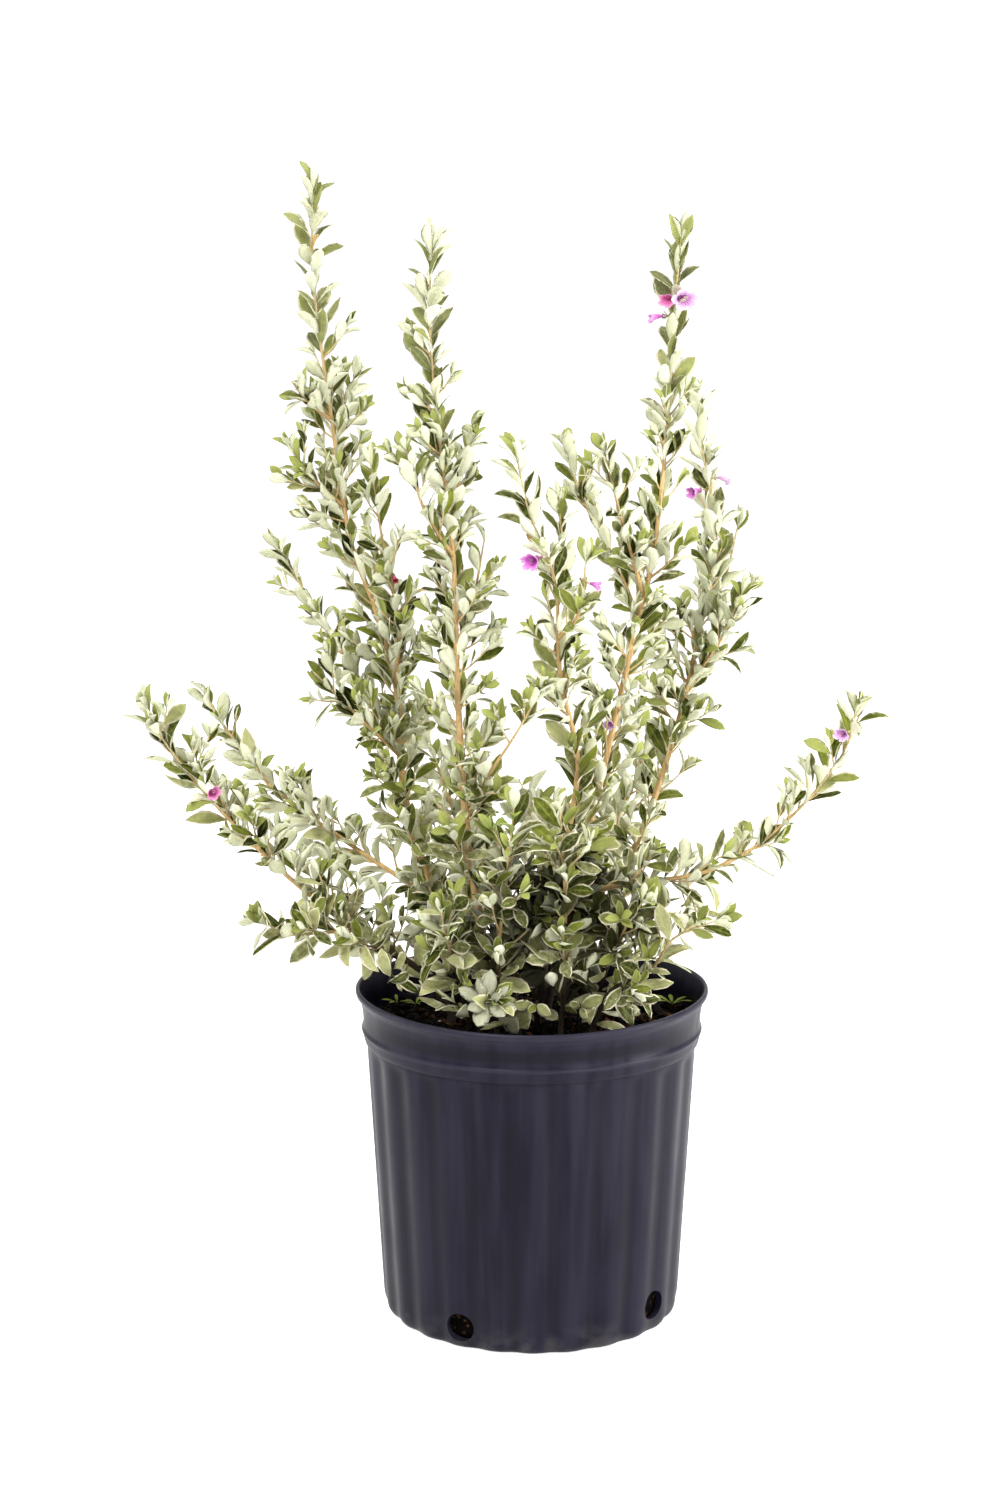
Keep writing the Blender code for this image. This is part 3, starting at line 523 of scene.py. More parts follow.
soil = {
    "middle": 0.240, "edge": 0.2358, "radius": 0.1326,
    "rings": 110, "columns": 300,
    "lumps": ((0.020, 0.0012, 5), (0.008, 0.0012, 6), (0.0034, 0.0011, 7)),   # size, height, seed
    # radius and height down the side, inside the pot's wall
    "side": [(0.1322, 0.2300), (0.1300, 0.2270), (0.1246, 0.2200), (0.1127, 0.0110), (0.1030, 0.0032)],
    "splinter": (0.13, 0.7, 0.75),        # how far a corner is pushed, and how thick the two ends are
    "chips": {"count": 1900, "seed": 11, "reach": 0.127, "tilt": 0.35, "rise": 0.3, "tone": (1.1, 2.6),
              "length": (2.2, 0.0018, 0.0016), "width": (0.3, 0.75), "height": (0.2, 0.5),
              "dry": (0.22, 0.05), "sharpFrom": 40},
    "grains": {"count": 44, "seed": 12, "reach": 0.124, "tilt": 0.6, "rise": 0.0006,
               "length": (0.0014, 0.0034), "width": (0.8, 1.1), "height": (0.7, 1.0)},
}


def soilHeight(x, y):
    # height = middle + (edge - middle) * the square of the distance over the radius, plus the lumps
    r = np.hypot(x, y) / soil["radius"]
    height = soil["middle"] + (soil["edge"] - soil["middle"]) * r**2
    for size, lift, seed in soil["lumps"]:
        height = height + lift * lumpy(x, y, size, seed)
    return height


def onSoil(x, y, depth):
    # a point a little under the soil's surface
    return np.array([x, y, float(soilHeight(np.array([x]), np.array([y]))[0]) - depth])


def soilGrid():
    # top: height(radius, turn) from the lumps; then down the side, inside the pot's wall, to its floor
    turns = np.linspace(0, fullTurn, soil["columns"], endpoint=False)
    rings = soil["radius"] * np.sqrt(np.linspace(0.0004, 1, soil["rings"]))
    x, y = rings[:, None] * np.sin(turns), -rings[:, None] * np.cos(turns)
    side = np.array(soil["side"])[:, :, None]
    sideX, sideY = side[:, 0] * np.sin(turns), side[:, 0] * -np.cos(turns)
    under = np.stack([sideX, sideY, np.broadcast_to(side[:, 1], sideX.shape)], -1)
    return np.concatenate([np.stack([x, y, soilHeight(x, y)], -1), under])[::-1]


def soilEarth():
    look = Look("moistBark", 0.95, Specular_IOR_Level=0.05)
    crumbs = look.add("TexVoronoi", {"Vector": look.place, "Scale": 420.0})
    red = look.add("SeparateColor", {0: crumbs["Color"]})["Red"]
    colour = look.layers(
        look.mix(look.mottle(60.0, 4.0, 0.35, 0.65), (0.0010, 0.0007, 0.0006), (0.0044, 0.0029, 0.0020)),
        (look.fade(red, 0.80, 0.97), 1, (0.055, 0.028, 0.013)))
    bump = look.calc("SUBTRACT", look.grit(1500.0, 500.0, 1.2), crumbs["Distance"])
    return look.finish(colour, bump, 0.8, 0.0012)


def barkChip():
    look = Look("barkChip", 0.9, Specular_IOR_Level=0.08)
    streak = look.mottle(900.0, 2.0, 0.35, 0.65, look.stretched(1, 0.25, 1))
    lit = look.fade(look.value("tone"), 0.48, 1.0)
    colour = look.layers(
        look.mix(lit, (0.0024, 0.0017, 0.0012), (0.16, 0.058, 0.021)), (streak, 0.4, (0.013, 0.0078, 0.0046)))
    return look.finish(colour, streak, 0.6, 0.0005)


def perliteGrain():
    look = Look("perliteGrain", 0.9)
    pit = look.mottle(1800.0, 2.0, 0.4, 0.6)
    return look.finish(look.mix(pit, (0.55, 0.52, 0.47), (0.80, 0.79, 0.76)), pit, 0.6, 0.0004)


def scatter(count, draw, reach):
    # even over the soil's disc, on its height
    r = reach * np.sqrt(draw.uniform(0, 1, count))
    turn = draw.uniform(0, fullTurn, count)
    x, y = r * np.sin(turn), -r * np.cos(turn)
    return np.stack([x, y, soilHeight(x, y)], 1)


def turnedFrames(draw, count, tilt):
    # three square axes for each copy: a free turn about Z, then a small tilt
    yaw = draw.uniform(0, fullTurn, count)
    a = np.stack([np.cos(yaw), np.sin(yaw), draw.normal(0, tilt, count)], 1)
    up = unit(np.stack([draw.normal(0, tilt, count), draw.normal(0, tilt, count), np.ones(count)], 1))
    a = squareTo(up, a)
    return np.stack([a, np.cross(up, a), up], 1)


def chipShapes(draw, count):
    # a splinter of six corners round each end and its middle, each pushed by its own small amount
    push, left, right = soil["splinter"]
    turns = np.linspace(0, fullTurn, 6, endpoint=False)
    ring = np.stack([np.zeros(6), 0.5 * np.cos(turns), 0.5 * np.sin(turns)], 1)
    ends = np.vstack([ring * [1, left, left] + [-0.5, 0, 0], ring, ring * [1, right, right] + [0.5, 0, 0]])
    faces = [np.arange(6)[::-1], 12 + np.arange(6)]
    for base in (0, 6):
        faces += [base + np.array([k, (k + 1) % 6, 6 + (k + 1) % 6, 6 + k]) for k in range(6)]
    return ends[None] + draw.uniform(-push, push, (count, 18, 3)), faces


def chipSizes(length, draw, own):
    # width and height are random shares of the length
    width, height = (length * draw.uniform(*own[key], len(length)) for key in ("width", "height"))
    return np.stack([length, width, height], 1)


def copiesMesh(name, shape, faces, places, frames, sizes, tone, material):
    # each copy's corners times its size, turned into its frame, plus its place
    count, corners = shape.shape[:2]
    points = places[:, None] + np.einsum("nvk,nkc->nvc", shape * sizes[:, None, :], frames)
    index = (np.arange(count) * corners)[:, None] + np.concatenate(faces)[None]
    faceSizes = np.tile([len(f) for f in faces], count)
    block = {"points": points.reshape(-1, 3), "corners": index.ravel(), "sizes": faceSizes,
             "map": np.zeros((index.size, 2)), "material": np.zeros(len(faceSizes)),
             "values": {"tone": np.repeat(tone, corners)}}
    return makeMesh(name, [block], [material])


def addSoil():
    addPiece(makeMesh("soil_bed", [gridBlock(soilGrid())], [soilEarth()]), "soil", "soil")
    own = soil["chips"]
    count, draw = own["count"], np.random.default_rng(own["seed"])
    shape, faces = chipShapes(draw, count)
    curve, scale, least = own["length"]
    sizes = chipSizes(draw.gamma(curve, scale, count) + least, draw, own)
    places = scatter(count, draw, own["reach"])
    places[:, 2] += own["rise"] * sizes[:, 2]
    dry, beyond = own["dry"]
    tone = np.clip(draw.beta(*own["tone"], count) + dry * (places[:, 0] > beyond), 0, 1)
    frames = turnedFrames(draw, count, own["tilt"])
    chips = copiesMesh("bark_chips", shape, faces, places, frames, sizes, tone, barkChip())
    chips.set_sharp_from_angle(angle=math.radians(own["sharpFrom"]))
    addPiece(chips, "soil")
    own = soil["grains"]
    count, draw = own["count"], np.random.default_rng(own["seed"])
    shape, faces = chipShapes(draw, count)
    sizes = chipSizes(draw.uniform(*own["length"], count), draw, own)
    places = scatter(count, draw, own["reach"]) + [0, 0, own["rise"]]
    frames = turnedFrames(draw, count, own["tilt"])
    tone = draw.uniform(0, 1, count)
    addPiece(copiesMesh("perlite_grains", shape, faces, places, frames, sizes, tone, perliteGrain()), "soil")


# Stems and leaves

def plan(radius, shoots, shootLength, growth, bare, path, branches, twigs):
    return {"radius": radius, "shoots": shoots, "shootLength": shootLength, "growth": growth, "bare": bare,
            "path": metres(path), "branches": [metres(b) for b in branches], "twigs": metres(twigs)}


# Each stem: its radius, how many side shoots it has and how long they are; how full it is of twigs and how
# far its leaves and twigs turn up; the heights between which one sees it between its leaves; then in
# millimetres its route, its branches' routes, and the ends of extra twigs where the bush is fuller. The
# routes are the frame's own, but for the end of the last one, which stands lower.
stems = {
    "left_tall": plan(0.0042, 6, 0.062, (1.15, 0.0), (0.5, 0.72),
        [(-48, 14, 248), (-66, 19, 310), (-91, 26, 372), (-104, 30, 430), (-108, 35, 500), (-125, 40, 565),
         (-145, 45, 622), (-160, 51, 725), (-172, 56, 820), (-172, 60, 902)],
        [[(-156, 50, 700), (-150, 68, 722), (-141, 80, 748)],
         [(-158, 51, 714), (-178, 38, 730), (-188, 26, 745)],
         [(-149, 47, 650), (-172, 34, 668), (-190, 20, 694)],
         [(-108, 35, 500), (-106, 12, 560), (-118, -2, 630), (-126, -8, 688)],
         [(-105, 31, 444), (-138, 56, 504), (-170, 72, 552), (-208, 90, 612)],
         [(-105, 31, 448), (-135, 8, 480), (-171, -12, 521)]],
        [(-176, 40, 646), (-146, 50, 786), (-134, 40, 722), (-158, 35, 612), (-124, 12, 432),
         (-119, 10, 407), (-100, -10, 429), (-195, 30, 668), (-137, 60, 695), (-178, 40, 637),
         (-136, 30, 561), (-118, -10, 435), (-115, -20, 453), (-172, 50, 713)]),
    "middle_tall": plan(0.0042, 6, 0.060, (1.25, 0.0), (0.42, 0.66),
        [(-30, -16, 248), (-42, -25, 330), (-52, -33, 408), (-58, -43, 510), (-61, -52, 616),
         (-72, -60, 716), (-78, -66, 796), (-75, -70, 856)],
        [[(-52, -33, 412), (-33, -64, 450), (-12, -92, 488), (8, -112, 527)],
         [(-64, -54, 640), (-55, -44, 680), (-46, -42, 716)],
         [(-62, -52, 622), (-82, -70, 652), (-96, -78, 700)],
         [(-59, -45, 532), (-46, -28, 580), (-37, -22, 628)]],
        [(-78, -50, 618), (-80, -45, 574), (-80, -40, 539), (-34, -50, 546), (-92, -66, 738),
         (-62, -62, 752), (-90, -70, 784), (-37, -70, 518), (-73, -50, 598), (-72, -50, 551),
         (-58, -50, 651), (-48, -45, 643), (-30, -50, 478)]),
    "right_tall": plan(0.0042, 5, 0.058, (1.0, 0.0), (0.4, 0.7),
        [(12, -2, 248), (32, -6, 340), (57, -13, 450), (80, -18, 555), (94, -21, 620), (103, -26, 720),
         (107, -28, 800), (112, -30, 862)],
        [[(81, -18, 562), (62, 4, 612), (40, 18, 652), (25, 30, 697)],
         [(86, -19, 584), (66, -50, 648), (52, -78, 700)]],
        [(104, 0, 560), (100, 6, 528), (50, -14, 502), (116, -30, 740), (94, -34, 700), (112, -20, 668),
         (82, -30, 640), (59, -20, 532), (42, -30, 514), (58, -30, 498), (58, -20, 536), (113, -30, 724)]),
    "right_back": plan(0.0040, 5, 0.058, (1.0, 0.0), (0.34, 0.46),
        [(24, 30, 248), (50, 38, 302), (83, 49, 365), (112, 59, 445), (134, 69, 533), (149, 78, 615),
         (137, 85, 690), (133, 90, 735)],
        [[(125, 65, 500), (150, 46, 536), (168, 36, 580)],
         [(137, 71, 550), (158, 98, 582), (170, 116, 625)]],
        [(104, 60, 563), (100, 52, 530), (112, 56, 545), (96, 50, 500), (148, 60, 522), (142, 54, 478),
         (122, 60, 559), (103, 50, 540), (144, 85, 678), (121, 50, 461)]),
    "centre": plan(0.0038, 5, 0.055, (0.6, 0.0), (0.4, 0.58),
        [(4, -30, 248), (14, -34, 320), (27, -44, 395), (34, -60, 460), (20, -75, 530), (16, -85, 599),
         (-4, -94, 655), (-14, -100, 700)],
        [[(17, -83, 585), (22, -64, 618), (19, -50, 658)],
         [(19, -80, 553), (34, -104, 580), (38, -126, 622)]],
        [(44, -46, 494), (50, -36, 478), (16, -78, 512)]),
    "left_low": plan(0.0036, 5, 0.050, (1.1, 0.5), None,
        [(-64, -18, 248), (-86, -22, 282), (-129, -32, 311), (-170, -38, 345), (-207, -44, 380),
         (-250, -51, 428), (-284, -57, 475), (-296, -60, 503)],
        [[(-138, -33, 318), (-164, -62, 324), (-187, -83, 328), (-207, -100, 342)]],
        [(-200, -24, 398), (-262, -56, 468), (-280, -50, 476), (-290, -66, 490), (-280, -66, 500),
         (-136, -34, 354), (-249, -50, 478), (-194, -30, 391), (-118, -30, 343), (-98, -34, 334),
         (-112, -78, 288), (-128, -58, 286)]),
    "left_back": plan(0.0036, 5, 0.052, (1.2, 0.3), None,
        [(-30, 36, 248), (-50, 42, 292), (-85, 53, 326), (-150, 68, 368), (-213, 84, 412), (-246, 93, 452),
         (-268, 100, 486)],
        [],
        [(-188, 52, 398), (-254, 90, 464), (-242, 100, 468), (-264, 102, 478), (-222, 70, 395)]),
    "right_low": plan(0.0036, 5, 0.042, (0.7, 0.35), None,
        [(-12, -50, 248), (-14, -58, 296), (2, -68, 337), (46, -80, 362), (90, -86, 370), (132, -90, 379),
         (172, -96, 402), (208, -102, 438), (234, -110, 478), (241, -115, 513)],
        [],
        [(118, -72, 350), (126, -96, 344), (222, -116, 480), (238, -104, 486), (206, -92, 456),
         (244, -112, 506)]),
    "rim_right": plan(0.0024, 1, 0.028, (1.0, 0.0), None,
        [(46, -70, 248), (60, -86, 284), (89, -105, 305), (106, -120, 334), (138, -136, 352)],
        [],
        []),
    "front_left": plan(0.0024, 2, 0.040, (1.6, 0.0), None,
        [(-28, -62, 248), (-26, -82, 320), (-19, -106, 388), (-15, -122, 436)],
        [],
        []),
    "front_right": plan(0.0024, 2, 0.040, (1.6, 0.0), None,
        [(22, -62, 248), (25, -90, 310), (23, -110, 380), (19, -124, 438)],
        [],
        []),
    "front_low": plan(0.0020, 0, 0.030, (1.6, 0.0), None,
        [(-42, -78, 248), (-41, -92, 268), (-33, -106, 282)],
        [],
        []),
    "front_left_low": plan(0.0024, 2, 0.036, (1.8, 0.0), None,
        [(-50, -45, 248), (-58, -66, 288), (-66, -92, 326), (-70, -108, 352)],
        [],
        []),
    "front_right_low": plan(0.0024, 2, 0.036, (1.8, 0.0), None,
        [(48, -40, 248), (56, -62, 290), (68, -92, 330), (82, -120, 362)],
        [],
        []),
    "back_left": plan(0.0032, 5, 0.056, (1.0, 0.0), None,
        [(-20, 58, 248), (-36, 88, 308), (-60, 130, 368), (-82, 165, 425), (-90, 182, 458)],
        [],
        []),
    "back_right": plan(0.0032, 5, 0.056, (1.0, 0.0), None,
        [(32, 60, 248), (47, 92, 310), (76, 130, 378), (104, 160, 440), (114, 174, 476)],
        [],
        []),
    "back": plan(0.0032, 5, 0.056, (1.0, 0.0), None,
        [(4, 62, 248), (8, 102, 308), (4, 146, 360), (-4, 182, 386), (-9, 206, 395)],
        [],
        []),
}
wood = {
    "tipRadius": 0.0006,
    "depth": (0.040, 0.008),     # how far a stem stands in the soil, and the ring over its foot
    "shootSpread": math.radians(50), "shootLift": 0.2, "shootSpan": (0.14, 0.76), "shootShrink": 0.62,
    "knots": (0.014, 0.10, 4),   # how far apart, how much thicker and how sharp
    "taper": 0.85,
    "shootSeed": 100, "leafSeed": 1000,       # plus the stem's number
    "shootJitter": (0.3, 0.5), "shootVary": (0.85, 1.2), "shootSag": -0.04,
}
# what grows on each kind of route: the wood's sides, radius and age from foot to tip; the leaves' length,
# how far from the tip they are young, the step between them, the shares of the route where they begin and
# end, and how many stand in the tuft at the tip
kinds = {
    "stem": {"sides": 12, "age": (1.0, 0.1), "length": 0.0300, "youngReach": 0.045, "step": 0.0043,
             "first": 0.035, "last": 0.975, "tuft": 6},
    "branch": {"sides": 8, "radius": 0.0018, "age": (0.7, 0.1), "length": 0.0275, "youngReach": 0.040,
               "step": 0.0052, "first": 0.08, "last": 0.955, "tuft": 4},
    "shoot": {"sides": 6, "radius": 0.0012, "age": (0.5, 0.1), "length": 0.0262, "youngReach": 0.030,
              "step": 0.0050, "first": 0.14, "last": 0.98, "tuft": 3},
    "twig": {"sides": 5, "radius": 0.0008, "age": (0.35, 0.0), "length": 0.0233, "youngReach": 0.014,
             "step": 0.0050, "first": 0.28, "last": 0.985, "tuft": 3},
}
foliage = {
    "stations": [0.0, 0.08, 0.25, 0.45, 0.65, 0.85, 1.0],
    "widths": [0.08, 0.13, 0.55, 0.90, 1.0, 0.70, 0.08],
    "thickness": 0.00055,
    "faces": (0.35, 0.65),       # the shares of the thickness above and below the middle
    "thinning": (1.15, 0.6),     # times the thickness: at the midrib, and how much less at the edge
    "endThickness": 0.25,
    "wave": (0.10, 1.3, 2.0),    # of the two halves: how deep, how many along, and how much they turn across
    "twistFrom": 0.2,
    "lengthSpread": (0.76, 1.12),
    "tipShare": 0.62, "tipCurve": 2.2,        # the last leaves' length over that of the others
    "aspect": (0.37, 0.49),
    "lean": (76, 35, 0.46),      # degrees from the stem in the lowest leaves, and from the height after them
    "leanSpread": 0.22,
    "tipClose": 11,              # degrees by which the last leaves close up further
    "tipSteady": 0.5,            # how much less the last leaves lean by chance
    "tuftLean": 22, "tuftSteps": (0.005, 2.4),
    "push": (0.16, 0.25, 0.75),  # how far the leaves turn up to the light: its share low down, and the rest
    "roll": {"stem": 0.60 * 1.35, "branch": 0.60, "shoot": 0.60, "twig": 0.60},
    "fold": (0.34, 0.20), "youngFold": 0.12, "twist": 0.45,
    "bend": (0.15, 0.85), "bendDown": 0.72, "leastBend": 0.002,
    "firstGap": 0.4,             # of a step, before the first leaf
    "sizeByHeight": ((0.28, 0.40, 0.55), (1.30, 1.08, 1.0)),
    "turnSpread": 0.25, "lowest": 0.25, "ageSpread": 0.10, "ageDrop": (0.60, 0.45),
    # how many of a stem's own leaves stay, by height
    "stemShare": ((0.45, 0.60, 0.72), (0.62, 0.78, 1.0)),
    "twigStep": 0.0126, "twigLength": (0.012, 0.036), "twigLean": (0.52, 0.95), "twigSpan": (0.03, 0.80, 60),
    "twigRise": 0.20, "twigSag": -0.06, "addedDrop": 0.018, "addedSag": 0.002,
    "twigsByHeight": ((0.26, 0.34, 0.50, 0.80), (0.54, 1.10, 1.22, 0.60)),
    "twigReachByHeight": ((0.26, 0.50, 0.80), (1.15, 0.95, 0.65)),
    "bareReach": 0.0048, "bareShare": 0.44, "bareFront": 0.001,
    "oddShare": 0.003, "oddFrom": 0.09, "oddTints": (0.6, 1.0),    # of the leaves behind this depth
    "crowdReach": 0.028, "crowd": (64, 98),   # metres; percentiles between which the shade sets in
    "crowdParts": 16, "crowdBalance": (1.2, 0.8),
    "shadeByHeight": ((0.38, 0.50), (1.0, 0.35)),
    # between the stems' feet it is dark: from this radius and this height, each growing over so much
    "footShade": (0.088, 0.03, 0.345, 0.05, 0.95),
}
# what a leaf must not reach into or hide
clear = {
    "soil": (0.137, 0.2425),              # radius and height
    "rim": (0.130, 0.1425, 0.2625),       # from radius to radius, and height
    "inner": (0.112, 0.305, 0.45),        # radius, height and the share that goes between the stems' feet
    "mouth": (0.8, 0.003),                # the share of a bloom's mouth, and from how far behind it
}
# where one sees through the bush from the front: x, z and reach on the plane y = 0, in millimetres
gaps = metres([
    (-193, 760, 13), (-95, 647, 12), (40, 632, 12), (-5, 469, 17), (-197, 336, 16), (163, 624, 12),
    (102, 389, 10), (166, 350, 13), (-57, 722, 12), (-215, 479, 14), (-175, 457, 14), (-116, 634, 9),
    (-175, 588, 10), (-175, 528, 11), (43, 598, 11), (61, 653, 8), (-35, 620, 10), (160, 606, 10),
    (-5, 446, 14), (-25, 453, 12), (-99, 367, 9), (-96, 774, 8), (-46, 600, 8), (127, 285, 11),
    (144, 291, 11), (-118, 367, 9), (-216, 348, 10), (119, 427, 9), (-175, 606, 8), (-191, 743, 8),
    (-159, 764, 7), (-141, 285, 9), (116, 764, 6), (0, 588, 9), (-36, 612, 9), (158, 618, 8),
    (-178, 511, 8), (138, 300, 9), (-236, 492, 7), (-127, 268, 16), (-112, 258, 10), (110, 254, 11),
    (122, 268, 9),
])
# x and z in metres on that plane, reach, and the tint of the leaves near there: 0.3 bright green, 0.6
# yellow, 1 orange
oddLeaves = [
    (-0.237, 0.470, 0.012, 0.6), (-0.007, 0.630, 0.014, 1.0), (-0.168, 0.857, 0.006, 0.9),
    (-0.183, 0.655, 0.006, 0.9), (-0.084, 0.585, 0.005, 0.9), (-0.022, 0.400, 0.014, 0.3),
]
dryTint, dryShrink, oddDepth = 0.5, 0.82, 0.06


def leafTemplate():
    # one closed blade: rings of eight (edge, three above, edge, three below) at each station, zipped shut
    # at both ends
    stations = np.array(foliage["stations"])
    rows = len(stations)
    v = np.array([-1, -0.5, 0, 0.5, 1, 0.5, 0, -0.5])
    face = np.array([0, 1, 1, 1, 0, -1, -1, -1])
    left = np.array([0.02, 0.135, 0.25, 0.365, 0.98, 0.865, 0.75, 0.635])
    right = np.array([0.135, 0.25, 0.365, 0.48, 0.865, 0.75, 0.635, 0.52])
    index = np.arange(rows * 8).reshape(rows, 8)
    after = np.roll(index, -1, axis=1)
    quads = np.stack([index[:-1], index[1:], after[1:], after[:-1]], -1).reshape(-1, 4)
    low, high = np.repeat(stations[:-1], 8), np.repeat(stations[1:], 8)
    a, b = np.tile(left, rows - 1), np.tile(right, rows - 1)
    quadMap = np.stack([a, low, a, high, b, high, b, low], -1).reshape(-1, 2)
    end = (rows - 1) * 8
    zips = [[0, 1, 7], [1, 2, 6, 7], [2, 3, 5, 6], [3, 4, 5]]
    tips = [[end + k for k in reversed(z)] for z in zips]
    corners = np.concatenate([quads.ravel()] + [np.array(z) for z in zips + tips])
    sizes = np.array([4] * len(quads) + [len(z) for z in zips + tips])
    endMap = [[0.25, 0.0]] * sum(map(len, zips)) + [[0.25, 1.0]] * sum(map(len, tips))
    return v, face, corners, sizes, np.vstack([quadMap, endMap])


template = leafTemplate()


def leafPoints(leaves):
    # x runs along an arc of the leaf's own bend, y is its half width times the share across, and the two
    # halves rise from the midrib by the fold; the blade is thickest at the midrib and turns about its
    # length by the twist
    v, face = template[:2]
    size, aspect, bend, fold, twist, tone = (
        leaves[key][:, None, None] for key in ("length", "aspect", "bend", "fold", "twist", "tone"))
    u = np.array(foliage["stations"])[None, :, None]
    half = np.array(foliage["widths"])[None, :, None]
    angle = bend * u
    width = 0.5 * aspect * size * half
    turn = twist * (u - foliage["twistFrom"])
    depth, count, slant = foliage["wave"]
    wave = depth * np.sin(fullTurn * (count * u + tone) + slant * v)
    across = width * v * np.cos(fold)
    middle, thinner = foliage["thinning"]
    thick = foliage["thickness"] * np.where(face > 0, *foliage["faces"]) * face
    thick = thick * (middle - thinner * np.abs(v)) * np.minimum(1, half + foliage["endThickness"])
    rise = width * np.abs(v) * np.sin(fold) + width * wave * np.abs(v) + thick
    y = across * np.cos(turn) - rise * np.sin(turn)
    lift = across * np.sin(turn) + rise * np.cos(turn)
    x = size * np.sin(angle) / bend - lift * np.sin(angle)
    z = size * (1 - np.cos(angle)) / bend + lift * np.cos(angle)
    side = np.cross(leaves["up"], leaves["along"])
    axes = (leaves["along"], side, leaves["up"])
    shape = sum(c[..., None] * a[:, None, None] for c, a in zip((x, y, z), axes))
    return leaves["root"][:, None, None] + shape


def leafBlock(leaves):
    # the blade's faces once for each leaf, on that leaf's own points
    points = leafPoints(leaves)
    count, rows, cols = points.shape[:3]
    corners, sizes, faceMap = template[2:]
    index = (np.arange(count) * rows * cols)[:, None] + corners[None]
    values = {key: np.repeat(leaves[key], rows * cols) for key in ("tone", "age", "tint", "shade")}
    return {"points": points.reshape(-1, 3), "corners": index.ravel(), "sizes": np.tile(sizes, count),
            "map": np.tile(faceMap, (count, 1)), "material": np.ones(len(sizes) * count), "values": values}


def leavesOn(route, kind, draw, shelf):
    # leaves at even steps round a route by the golden angle, smaller and closer to it towards its tip
    size, first, last, tuft = (kinds[kind][key] for key in ("length", "first", "last", "tuft"))
    reach = lengthsAlong(route)[-1]
    count = max(3, int((1 - first) * reach / kinds[kind]["step"]))
    share = first + (1 - first) * (np.arange(count) + foliage["firstGap"]) / count
    step, steps = foliage["tuftSteps"]
    share = np.append(share * last, last + step * np.linspace(0, steps, tuft))
    count += tuft
    points, directions = alongRoute(route, share)
    turns = draw.uniform(0, fullTurn) + np.arange(count) * goldenAngle
    out = wayOut(directions, turns + draw.normal(0, foliage["turnSpread"], count))
    # leaves of a leaning stem stand on its upper side
    out[:, 2] += shelf * (1 - np.abs(directions[:, 2]))
    out = squareTo(directions, out)
    youth = np.clip(1 - (1 - share) * reach / kinds[kind]["youngReach"], 0, 1)
    shrink = 1 - (1 - foliage["tipShare"]) * youth ** foliage["tipCurve"]
    length = size * shrink * draw.uniform(*foliage["lengthSpread"], count)
    length = length * np.interp(points[:, 2], *foliage["sizeByHeight"])
    low, high, top = foliage["lean"]
    risen = np.clip((points[:, 2] - foliage["lowest"]) / (top - foliage["lowest"]), 0, 1)
    grown, climbed = foliage["ageDrop"]
    ageSpread = foliage["ageSpread"]
    lean = np.radians(low + (high - low) * np.maximum(risen, youth) - foliage["tipClose"] * youth)
    lean = lean + draw.normal(0, foliage["leanSpread"], count) * (1 - foliage["tipSteady"] * youth)
    lean = np.where(np.arange(count) >= count - tuft, np.radians(foliage["tuftLean"]), lean)
    along, flat = leanOut(directions, out, lean)
    push, least, rest = foliage["push"]
    along = unit(along + [0, 0, push] * (least + rest * risen[:, None]))
    roll = draw.normal(0, foliage["roll"][kind], count)[:, None]
    flat = squareTo(along, flat)
    up = flat * np.cos(roll) + np.cross(along, flat) * np.sin(roll)
    return {
        "root": points, "along": along, "up": up, "length": length,
        "aspect": draw.uniform(*foliage["aspect"], count),
        "fold": np.abs(draw.normal(*foliage["fold"], count)) + foliage["youngFold"] * youth,
        "bend": np.where(draw.uniform(0, 1, count) < foliage["bendDown"], -1, 1)
        * draw.uniform(*foliage["bend"], count) + foliage["leastBend"],
        "twist": draw.normal(0, foliage["twist"], count),
        "tone": draw.uniform(0, 1, count),
        "age": np.clip(1 - grown * youth - climbed * risen + draw.normal(0, ageSpread, count), 0, 1),
        "tint": np.where(
            (draw.uniform(0, 1, count) < foliage["oddShare"]) & (points[:, 1] > foliage["oddFrom"]),
            draw.choice(foliage["oddTints"], count), 0.0),
        "shade": np.zeros(count),
    }


def pickLeaves(leaves, keep):
    return {key: value[keep] for key, value in leaves.items()}


def mergeLeaves(sets):
    return {key: np.concatenate([s[key] for s in sets]) for key in sets[0]}


def seenAt(points):
    # where each point is seen on the plane y = 0 from the front: its offset from the eye over its own
    # distance
    eye = np.array(view["place"])
    return eye + (points - eye) * (eye[1] / (eye[1] - points[:, 1]))[:, None]


def middles(leaves):
    # root + half the length along the leaf
    return leaves["root"] + 0.5 * leaves["length"][:, None] * leaves["along"]


def inGap(points):
    # seen from the front, nearer to a gap's middle than its reach
    seen = seenAt(points)
    hit = np.zeros(len(points), bool)
    for x, z, reach in gaps:
        hit |= np.hypot(seen[:, 0] - x, seen[:, 2] - z) < reach
    return hit


